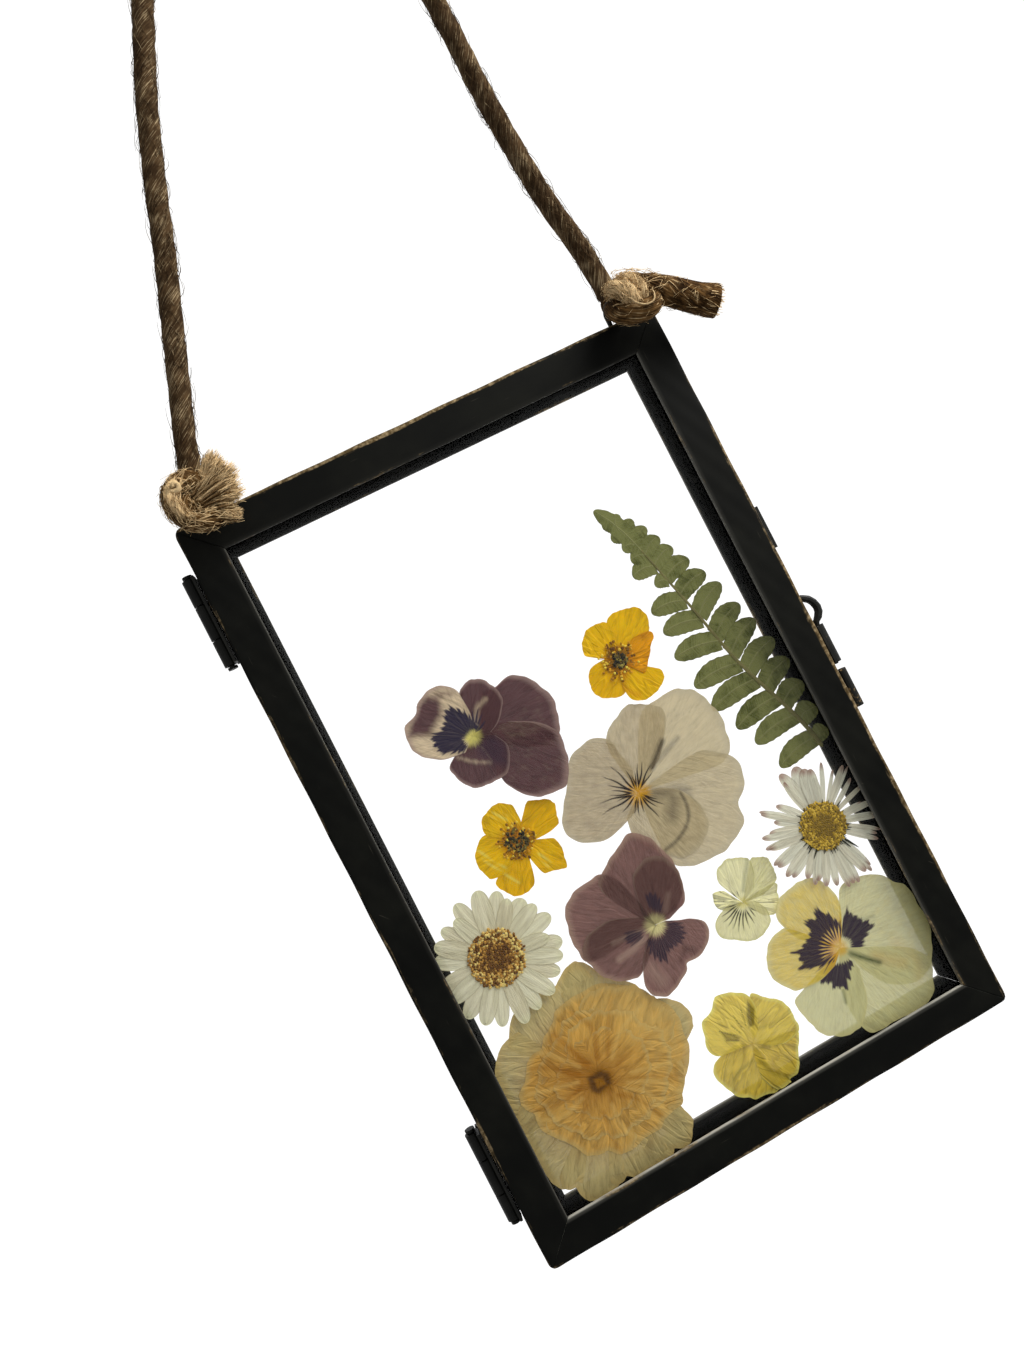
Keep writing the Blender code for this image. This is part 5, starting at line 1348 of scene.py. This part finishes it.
def tan_sheet(outline, degrees, half, share):
    """A stretch of a closed outline about the flower's middle, brought in towards its ends and ruffled."""
    points = np.asarray(outline, float) - TAN_MIDDLE
    u = np.linspace(-1, 1, 41)
    around = degrees + half * u
    reach = np.interp(around, np.degrees(np.arctan2(points[:, 1], points[:, 0])), np.hypot(*points.T),
        period=360)
    ruffle = 0.012 * np.sin(around * 0.42 + degrees) + 0.008 * np.sin(around * 0.93)
    reach = reach * (share * (1 - 0.10 * np.abs(u) ** 5) + ruffle * (share < 1))
    return list(zip(TAN_MIDDLE[0] + reach * np.cos(np.radians(around)),
        TAN_MIDDLE[1] + reach * np.sin(np.radians(around))))


def tan_paint(x, z, number):
    """The marks, tints and stains of one petal, counted from the back, with painted shade along the dark folds and
    painted highlights along the pale ones.
    """
    distance = np.hypot(x - TAN_MIDDLE[0], z - TAN_MIDDLE[1])
    if TAN_SHEETS[number][0] == "outer":
        return {"warm": 0.25 * np.clip((17 - distance) / 4, 0, 1)}
    eye = patch(x, z, [(-28.4, -49.0), (-28.8, -51.6), (-27.8, -52.6), (-24.8, -52.0), (-24.4, -50.2),
        (-25.6, -49.0)], 0.7)
    heart = patch(x, z, [(-27.4, -49.8), (-27.6, -51.6), (-25.8, -51.7), (-25.9, -50.2)], 0.4)
    # Painted shade in the dark folds and painted highlights on the pale ones.
    dark = np.maximum.reduce([stroke(x, z, line, width, 0.8) for line, width,
        is_dark in TAN_FOLDS if is_dark])
    pale = np.maximum.reduce([stroke(x, z, line, width, 0.9) for line, width,
        is_dark in TAN_FOLDS if not is_dark])
    orange = patch(x, z, [(-38, -45), (-35, -40.6), (-29, -38), (-27, -47), (-31, -51), (-38, -49)], 5.0)
    return {
        "mark": np.clip(0.8 * (eye - heart), 0, 1),
        "warm": np.clip(0.85 * np.clip((9.0 - distance) / 8, 0, 1) + 0.45 * orange + 0.5 * dark, 0, 1),
        "cool": np.clip(0.6 * pale + 0.4 * patch(x, z,
            [(-19, -38), (-11, -40), (-8.5, -48), (-12, -52), (-18, -46)], 5.0), 0, 1),
    }


tan_petals = [
    (tint, tan_sheet(TAN_OUTER if which == "outer" else TAN_INNER, degrees, half, share))
    for which, degrees, half, share, tint in TAN_SHEETS
]
# Its warm colour is partly painted shade in the dark folds, and its cool colour partly painted highlight on the pale
# ones.
flower("ruffled_flower_tan", TAN_MIDDLE, tan_petals, petal_finish(
    "ruffled_flower_tan", (178, 164, 114), (196, 156, 82), (66, 40, 12), (140, 98, 40), 3.4, 0.02,
    warm=(150, 100, 34),
    cool=(214, 184, 112), vein=0.24, fold=0.45, stack=0.02, crease=0.34, rim=(184, 162, 106),
    vein_turns=16.0), tan_paint, rows=34, columns=90, ruffle=0.004)


# Daisies. Two pressed daisies: white strap petals round a disc of tiny florets. The left one has
# broad petals and a golden disc; the right one has narrow petals with brownish tips and a yellow
# disc.

def strap_petal(middle, degrees, length, width, depth, number, curl=0.0, power=6.0, from_middle=0.05):
    """A strap petal as a grid of across by along, t being the way along and u the way across.

    The half width rises from a third at the root and falls at the tip with the square root of 1 - t to a
    power; the tip has a small notch in its middle, and the petal bends sideways with the square of t.
    """
    t = 1 - (1 - from_middle) * (1 - np.linspace(0, 1, 28)[:, None]) ** 1.7
    u = np.linspace(-1, 1, 11)[None, :]
    half = width / 2 * (0.4 + 0.6 * np.clip(t * 1.5, 0, 1) ** 0.8) * np.sqrt(np.clip(1 - t**power, 0, 1))
    along = t * length * (1 - 0.05 * np.exp(-(((np.abs(u) - 0.12) / 0.2) ** 2)) * t**8)
    side = half * u + curl * t**2
    a = math.radians(degrees)
    x = middle[0] + along * math.cos(a) - side * math.sin(a)
    z = middle[1] + along * math.sin(a) + side * math.cos(a)
    y = depth - 0.035 * np.cos(u * 4.7) * t + 0 * x
    faces = quad_grid(*x.shape)
    flat = np.full(x.shape, float(number))
    fan = np.stack([side * 0.35 + 0 * x, along + 0 * x, flat], -1).reshape(-1, 3)
    # The share of the way to the rim also grows towards the sides, so the painted edge shade runs along them.
    paint = np.stack([0 * x, (flat * 0.37) % 0.6, np.maximum(t, np.abs(u) * 0.99 * (t < 0.995)) + 0 * x],
        -1).reshape(-1, 3)
    # Warm tips, and two thin lines of the cool colour along the petal as painted shade of shallow grooves; the count
    # of petals behind, for painted shade, is added later.
    stains_and_painted_light = np.stack([np.clip((t - 0.86) / 0.12, 0, 1) + 0 * x,
        np.exp(-((np.abs(u) - 0.45) / 0.08) ** 2) * 0.5 + 0 * x, 0 * x], -1)
    return np.stack([x, y, z], -1).reshape(-1, 3), faces.tolist(), {"fan": fan, "paint": paint,
        "stains_and_painted_light": stains_and_painted_light.reshape(-1, 3)}


BROAD_PETALS = [
    (12, 12.6, 3.5), (-15, 12.6, 3.5), (40, 11.8, 3.8), (-43, 12.2, 3.3), (64, 12.2, 3.4), (-75, 12.4, 3.5),
    (100, 12.6, 3.4),
    (-111, 12.6, 3.3), (125, 11.6, 3.3), (-145, 12.2, 3.4), (154, 11.6, 3.9), (180, 11.4, 3.3),
    (27, 12.0, 3.4), (-26, 12.4, 3.3),
    (80, 12.9, 3.8), (-59, 12.6, 3.5), (-91, 13.2, 3.4), (-127, 12.4, 3.5), (-163, 11.4, 3.5),
    (141, 11.8, 3.4), (112, 10.6, 3.0),
    (50, 11.0, 3.0), (-2, 10.4, 3.0),
]
NARROW_PETALS = [
    (90, 12.6, 3.2), (99, 13.0, 2.6), (82, 11.6, 3.0), (110, 11.4, 2.0), (124, 10.0, 1.7), (136, 12.9, 1.1),
    (142, 12.6, 1.1), (148, 9.8, 1.6),
    (158, 10.8, 1.6), (168, 12.4, 1.5), (174, 12.3, 1.5), (180, 11.6, 1.6), (187, 12.4, 1.5),
    (195, 12.0, 2.0), (203, 12.2, 1.8),
    (212, 11.6, 1.7), (221, 10.6, 1.8), (230, 11.4, 1.7), (238, 10.6, 1.9), (247, 11.6, 1.7),
    (255, 11.8, 1.8), (262, 12.8, 1.4),
    (270, 12.6, 2.0), (278, 13.0, 1.6), (286, 12.2, 1.8), (293, 13.0, 1.3), (300, 12.0, 1.0),
    (318, 11.4, 1.1), (329, 11.0, 0.9),
    (336, 11.6, 0.9), (343, 11.4, 0.9), (350, 11.2, 1.3), (0, 11.4, 1.3), (8, 9.0, 0.8), (20, 11.2, 1.0),
    (26, 10.8, 1.0), (38, 12.6, 0.7),
    (44, 12.4, 1.4), (50, 11.0, 0.8), (60, 12.2, 1.0), (68, 9.4, 1.6), (75, 11.2, 2.2),
]
DAISIES = {
    "daisy_broad": ((-33.1, -21.3), BROAD_PETALS, 5.4, 9.0, 0.3),
    "daisy_narrow": ((33.9, -29.3), NARROW_PETALS, 4.7, 9.0, 0.7),
}
# The cool colour is painted shade along two shallow grooves in each petal, and the rim colour painted shade along its
# edges; the tips take the warm colour.
DAISY_FINISHES = [
    petal_finish("daisy_white", (218, 212, 184), (198, 190, 160), (60, 50, 40), (204, 197, 158), 6.5, 0.03,
        warm=(224, 214, 180),
                 cool=(176, 168, 138), vein=0.12, fold=0.12, stack=0.25, crease=0.1, rim=(166, 156, 124),
                 roughness=0.6),
    petal_finish("daisy_pink_tips", (222, 217, 196), (200, 194, 170), (60, 40, 44), (170, 162, 134), 5.6,
        0.03, warm=(156, 126, 114),
                 cool=(168, 158, 140), vein=0.16, fold=0.12, stack=0.3, crease=0.1, rim=(178, 168, 152),
                 roughness=0.6),
]
DISC_FINISHES = [
    grain_finish("florets_gold", (96, 62, 20), (178, 134, 58), (222, 192, 116)),
    grain_finish("florets_yellow", (112, 90, 30), (158, 128, 34), (196, 166, 62)),
]
FLORETS = 460
GOLDEN_ANGLE = math.radians(137.508)
for order, (name, (middle, petals, disc, power, curl)) in enumerate(DAISIES.items()):
    low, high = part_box(name)
    front, back = (low.y - MIDDLE[1]) / MM, (high.y - MIDDLE[1]) / MM
    rng = np.random.default_rng(40 + order)
    rank = [k / len(petals) for k in range(len(petals))] if order == 0 else rng.permutation(len(petals)) / len(petals)
    straps = [
        strap_petal(middle, a, r, w * rng.uniform(0.92, 1.08), back - 0.04 - 0.2 * rank[k], k,
            rng.normal(0, curl), power)
        for k, (a, r, w) in enumerate(petals)
    ]
    outlines = [np.concatenate([s[0][::11][:, ::2], s[0][10::11][::-1][:, ::2]]) for s in straps]
    # Painted shade: where a petal lies over a lower one nearby, the count of petals behind it darkens it.
    for k, (points, _, about) in enumerate(straps):
        for m in range(len(straps)):
            if rank[m] < rank[k] and abs((petals[m][0] - petals[k][0] + 180) % 360 - 180) < 40:
                about["stains_and_painted_light"][:, 2] += 0.5 * np.clip(depth_inside(points[:, 0], points[:, 2],
                    outlines[m]) / 0.3 + 0.5, 0, 1)
    points, faces, about = joined(*straps)
    make_piece(f"{name}_petals", points, faces, DAISY_FINISHES[order], "front_half", name, [name], **about)
    k = np.arange(FLORETS) + 0.5
    reach = disc * np.sqrt(k / FLORETS) * (1 + rng.normal(0, 0.025, FLORETS))
    angle = k * GOLDEN_ANGLE
    height = 0.24 * np.sqrt(np.clip(1 - (reach / disc) ** 2, 0, 1)) if order else rng.uniform(0.02, 0.22,
        FLORETS)
    spots = np.column_stack([middle[0] + reach * np.cos(angle), front + 0.20 - height,
        middle[1] + reach * np.sin(angle)])
    size = rng.uniform((0.2, 0.12, 0.2), (0.38, 0.17, 0.38), (FLORETS, 3))
    rosette = np.clip((reach - disc * 0.42) / (disc * 0.2), 0, 1)
    own = rng.uniform(0.1, 1.0, FLORETS) * (0.42 + 0.58 * rosette)
    spots = np.vstack([spots, [[middle[0], front + 0.22, middle[1]]]])
    size = np.vstack([size, [[disc * 0.95, 0.08, disc * 0.95]]])
    points, faces, about = balls(spots, size, np.repeat(np.append(own, 0.3)[:, None], 3, 1))
    make_piece(f"{name}_disc", points, faces, DISC_FINISHES[order], "front_half", name, **about)

BRACTS = [(a + 7 * math.sin(a), 0.8 + 0.7 * math.sin(a * 1.7) ** 2) for a in range(150, 345, 9)]
BRACTS += [(a, 0.9) for a in (8, 22, 36, 50, 64, 100, 116, 132)] + [(302, 4.0), (296, 2.6), (212, 2.0),
    (225, 2.4), (132, 1.6), (26, 1.8)]
bracts = Finish("bracts", Roughness=0.8)
bract_grain = bracts.noise(bracts.place(), 900.0)
bracts.set(bracts.shader, {"Base Color": bracts.mix(bract_grain, seen(28, 28, 20), seen(56, 56, 40)),
    "Specular IOR Level": 0.1})
middle, _, disc, _, _ = DAISIES["daisy_narrow"]
front = (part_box("daisy_narrow")[0].y - MIDDLE[1]) / MM
blades = [
    strap_petal(middle, a, disc * 0.9 + r, 0.34 + 0.07 * r, front + 0.06, k, 0.0, 2.0, 0.6) for k,
    (a, r) in enumerate(BRACTS)
]
points, faces, about = joined(*blades)
make_piece("daisy_narrow_bracts", points, faces, bracts, "front_half", "daisy_narrow", **about)


# Fern tip. The top of one fern frond, pressed flat: leaflets with faint teeth on both sides of a
# thin stalk. They grow from the stalk in pairs that close up towards the tip.

STALK = [
    (22.8, 44.6), (24.6, 40.4), (26.6, 35.8), (27.9, 31.4), (28.9, 27.4), (30.2, 22.6), (31.5, 17.4),
    (32.6, 12.5),
    (33.8, 7.8), (35.2, 3.4), (36.8, -0.8), (38.4, -4.8), (39.8, -8.8), (41.0, -13.0), (41.6, -16.2),
]
LEAFLETS = [
    (22.4, 45.0, 1.7, 2.4), (22.6, 41.9, 1.3, 1.2), (22.9, 38.8, 1.5, 1.6), (23.9, 36.0, 1.5, 2.1),
    (24.4, 33.2, 1.6, 2.7), (23.3, 30.2, 1.75, 3.3),
    (26.4, 27.0, 1.3, 4.2), (23.3, 22.4, 1.85, 5.2), (23.6, 17.9, 1.9, 6.1), (23.3, 12.6, 2.0, 7.2),
    (24.2, 5.9, 2.05, 8.4),
    (25.2, 0.4, 2.05, 9.4), (27.9, -5.0, 2.05, 10.6), (29.9, -9.3, 2.0, 11.8), (32.1, -15.6, 1.9, 13.2),
    (25.9, 42.6, 1.3, 1.2), (28.0, 40.6, 1.5, 1.7), (30.0, 38.0, 1.5, 2.1), (31.5, 35.0, 1.6, 2.65),
    (33.0, 32.0, 1.7, 3.25),
    (34.9, 28.5, 1.8, 4.05), (36.6, 24.8, 1.9, 4.9), (38.3, 21.6, 1.95, 5.95), (39.8, 16.3, 2.0, 6.95),
    (41.1, 12.3, 2.05, 7.9),
    (42.8, 7.2, 2.1, 8.9), (43.6, 2.4, 2.1, 9.95), (44.0, -3.0, 2.1, 11.05), (44.2, -8.6, 2.0, 12.15),
    (44.2, -13.6, 1.6, 13.3),
]
stalk_points = np.array(STALK)


def leaflet(tip, half, place, depth, number):
    """A leaflet: an oblong blade with a broad foot on the stalk, a blunt tip and small round teeth."""
    k = min(int(place), len(stalk_points) - 2)
    base = stalk_points[k] + (stalk_points[k + 1] - stalk_points[k]) * (place - k)
    along = np.array(tip) - base
    across = np.array([-along[1], along[0]]) / np.linalg.norm(along)
    t = 1 - (1 - np.linspace(0, 1, 40)[:, None]) ** 1.5
    u = np.linspace(-1, 1, 15)[None, :]
    width = 1.2 * half * (0.72 + 0.28 * np.sin(np.pi * (0.1 + 0.8 * t))) * np.sqrt(1 - t**5)
    width = width * (1 - 0.06 * np.abs(np.sin(6 * np.pi * t)) ** 1.5 * (t > 0.12))
    droop = 0.3 * half * np.sin(np.pi * t) * (1 if across[1] > 0 else -1)
    flat = base + along * t[..., None] + across * (width * u + droop)[..., None]
    y = depth - 0.06 * (1 - np.abs(u)) + 0.03 * np.sin(t * 26) * np.abs(u)
    grid = np.stack([flat[..., 0], y + 0 * flat[..., 0], flat[..., 1]], -1)
    n, m = grid.shape[:2]
    faces = quad_grid(n, m)
    fan = np.stack([u + 0 * t, t * np.linalg.norm(along) + 0 * u, np.full((n, m), float(number))],
        -1).reshape(-1, 3)
    return grid.reshape(-1, 3), faces.tolist(), {"fan": fan}


low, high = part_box("fern_tip")
fern_front = (low.y - MIDDLE[1]) / MM
blades = [
    leaflet((x, z), half, place, fern_front + 0.09 + 0.045 * (number % 3), number) for number,
    (x, z, half, place) in enumerate(LEAFLETS)
]
points, faces, about = joined(*blades)
green = Finish("fern_green", Roughness=0.7)
green.set(green.shader, {"Specular IOR Level": 0.06})
side, along, number = green.attribute("fan")
side_away = side.math("ABSOLUTE", side)
ribs = green.noise(green.vector(along * 2.6 + side_away * 2.2, number, 0.0), 1.0, 2.0, 0.5)
leaf_mottle = green.noise(green.place(), 380.0, 4.0, 0.62)
own_shade = green.noise(green.vector(number * 3.7, 0.0, 1.0), 1.0, 0.0)
leaf = green.mix((leaf_mottle + ribs * 0.4 + own_shade * 0.4 - 0.2).above(0.40, 0.80), seen(70, 75, 34),
    seen(110, 113, 66))
leaf = green.mix((1 - side_away.above(0.03, 0.14)) * 0.45, leaf, seen(128, 128, 86))
leaf = green.mix(leaf_mottle.above(0.64, 0.8) * 0.5, leaf, seen(58, 54, 26))
leaf = green.mix(side_away.above(0.86, 1.0) * 0.4, leaf, seen(70, 72, 34))
green.set(green.shader, {"Base Color": leaf})
green.bump(ribs + leaf_mottle * 0.5 - (1 - side_away.above(0.0, 0.1)) * 0.5, 0.18, 0.7)
make_piece("fern_leaflets", points, faces, green, "front_half", "fern", ["fern_tip"], **about)
stalk_path = smooth_path([(x, fern_front + 0.12, z) for x, z in STALK], 0.6)
points, faces, _ = rope_sweep(stalk_path, np.linspace(0.16, 0.48, len(stalk_path)), sides=10, strands=2,
    lay=200.0, relief=0.1)
points[:, 1] = fern_front + 0.1 + (points[:, 1] - fern_front - 0.12) * 0.3
stalk_finish = Finish("fern_stalk", Roughness=0.65)
stalk_grain = stalk_finish.noise(stalk_finish.place(), 700.0, 3.0)
stalk_finish.set(stalk_finish.shader, {
    "Base Color": stalk_finish.mix(stalk_grain, seen(78, 76, 38), seen(122, 116, 72)),
    "Specular IOR Level": 0.2})
stalk_finish.bump(stalk_grain, 0.05, 0.5)
make_piece("fern_stalk", points, faces, stalk_finish, "front_half", "fern")


# Floor and light. A white sweep, floor into wall, well below and behind the hanging frame, and soft
# light all round.

SWEEP_LOW, SWEEP_BACK, SWEEP_BEND, SWEEP_HALF, SWEEP_FRONT, SWEEP_TOP = -0.6, 0.7, 0.5, 2.6, 0.15, 2.2
bend_angle = np.linspace(0, np.pi / 2, 24)
bend = np.column_stack([
    SWEEP_BACK + SWEEP_BEND * np.sin(bend_angle), SWEEP_LOW + SWEEP_BEND * (1 - np.cos(bend_angle))])
profile = np.concatenate([[[SWEEP_FRONT, SWEEP_LOW]], bend, [[SWEEP_BACK + SWEEP_BEND, SWEEP_TOP]]])
sweep_mesh = bpy.data.meshes.new("floor")
edge = [(-SWEEP_HALF, y, z) for y, z in profile] + [(SWEEP_HALF, y, z) for y, z in profile]
count = len(profile)
sweep_mesh.from_pydata(edge, [], [[k, count + k, count + k + 1, k + 1] for k in range(count - 1)])
floor = bpy.data.objects.new("floor", sweep_mesh)
bpy.context.scene.collection.objects.link(floor)
paper = Finish("white_paper", Roughness=0.95)
paper.set(paper.shader, {"Base Color": (0.15, 0.15, 0.15), "Emission Color": (1.0, 1.0, 1.0),
    "Emission Strength": 1.0})
sweep_mesh.materials.append(paper.material)

world = bpy.data.worlds.new("studio")
world.use_nodes = True
world.node_tree.nodes["Background"].inputs["Color"].default_value = (1.0, 1.0, 1.0, 1.0)
world.node_tree.nodes["Background"].inputs["Strength"].default_value = 0.44
bpy.context.scene.world = world


def soft_light(name, place, target, size, watts, colour):
    """A square soft light, aimed from one point in mm at another."""
    data = bpy.data.lights.new(name, "AREA")
    data.size, data.energy, data.color = size, watts, colour
    lamp = bpy.data.objects.new(name, data)
    lamp.location = in_row(place)
    direction = in_row(target) - in_row(place)
    lamp.rotation_euler = mathutils.Vector(direction).to_track_quat("-Z", "Y").to_euler()
    bpy.context.scene.collection.objects.link(lamp)


soft_light("key_light", (430, -210, 330), (0, 0, 0), 0.35, 5.5, (1.0, 0.98, 0.94))

bpy.context.scene.view_settings.view_transform = "Standard"
bpy.context.scene.view_settings.look = "None"
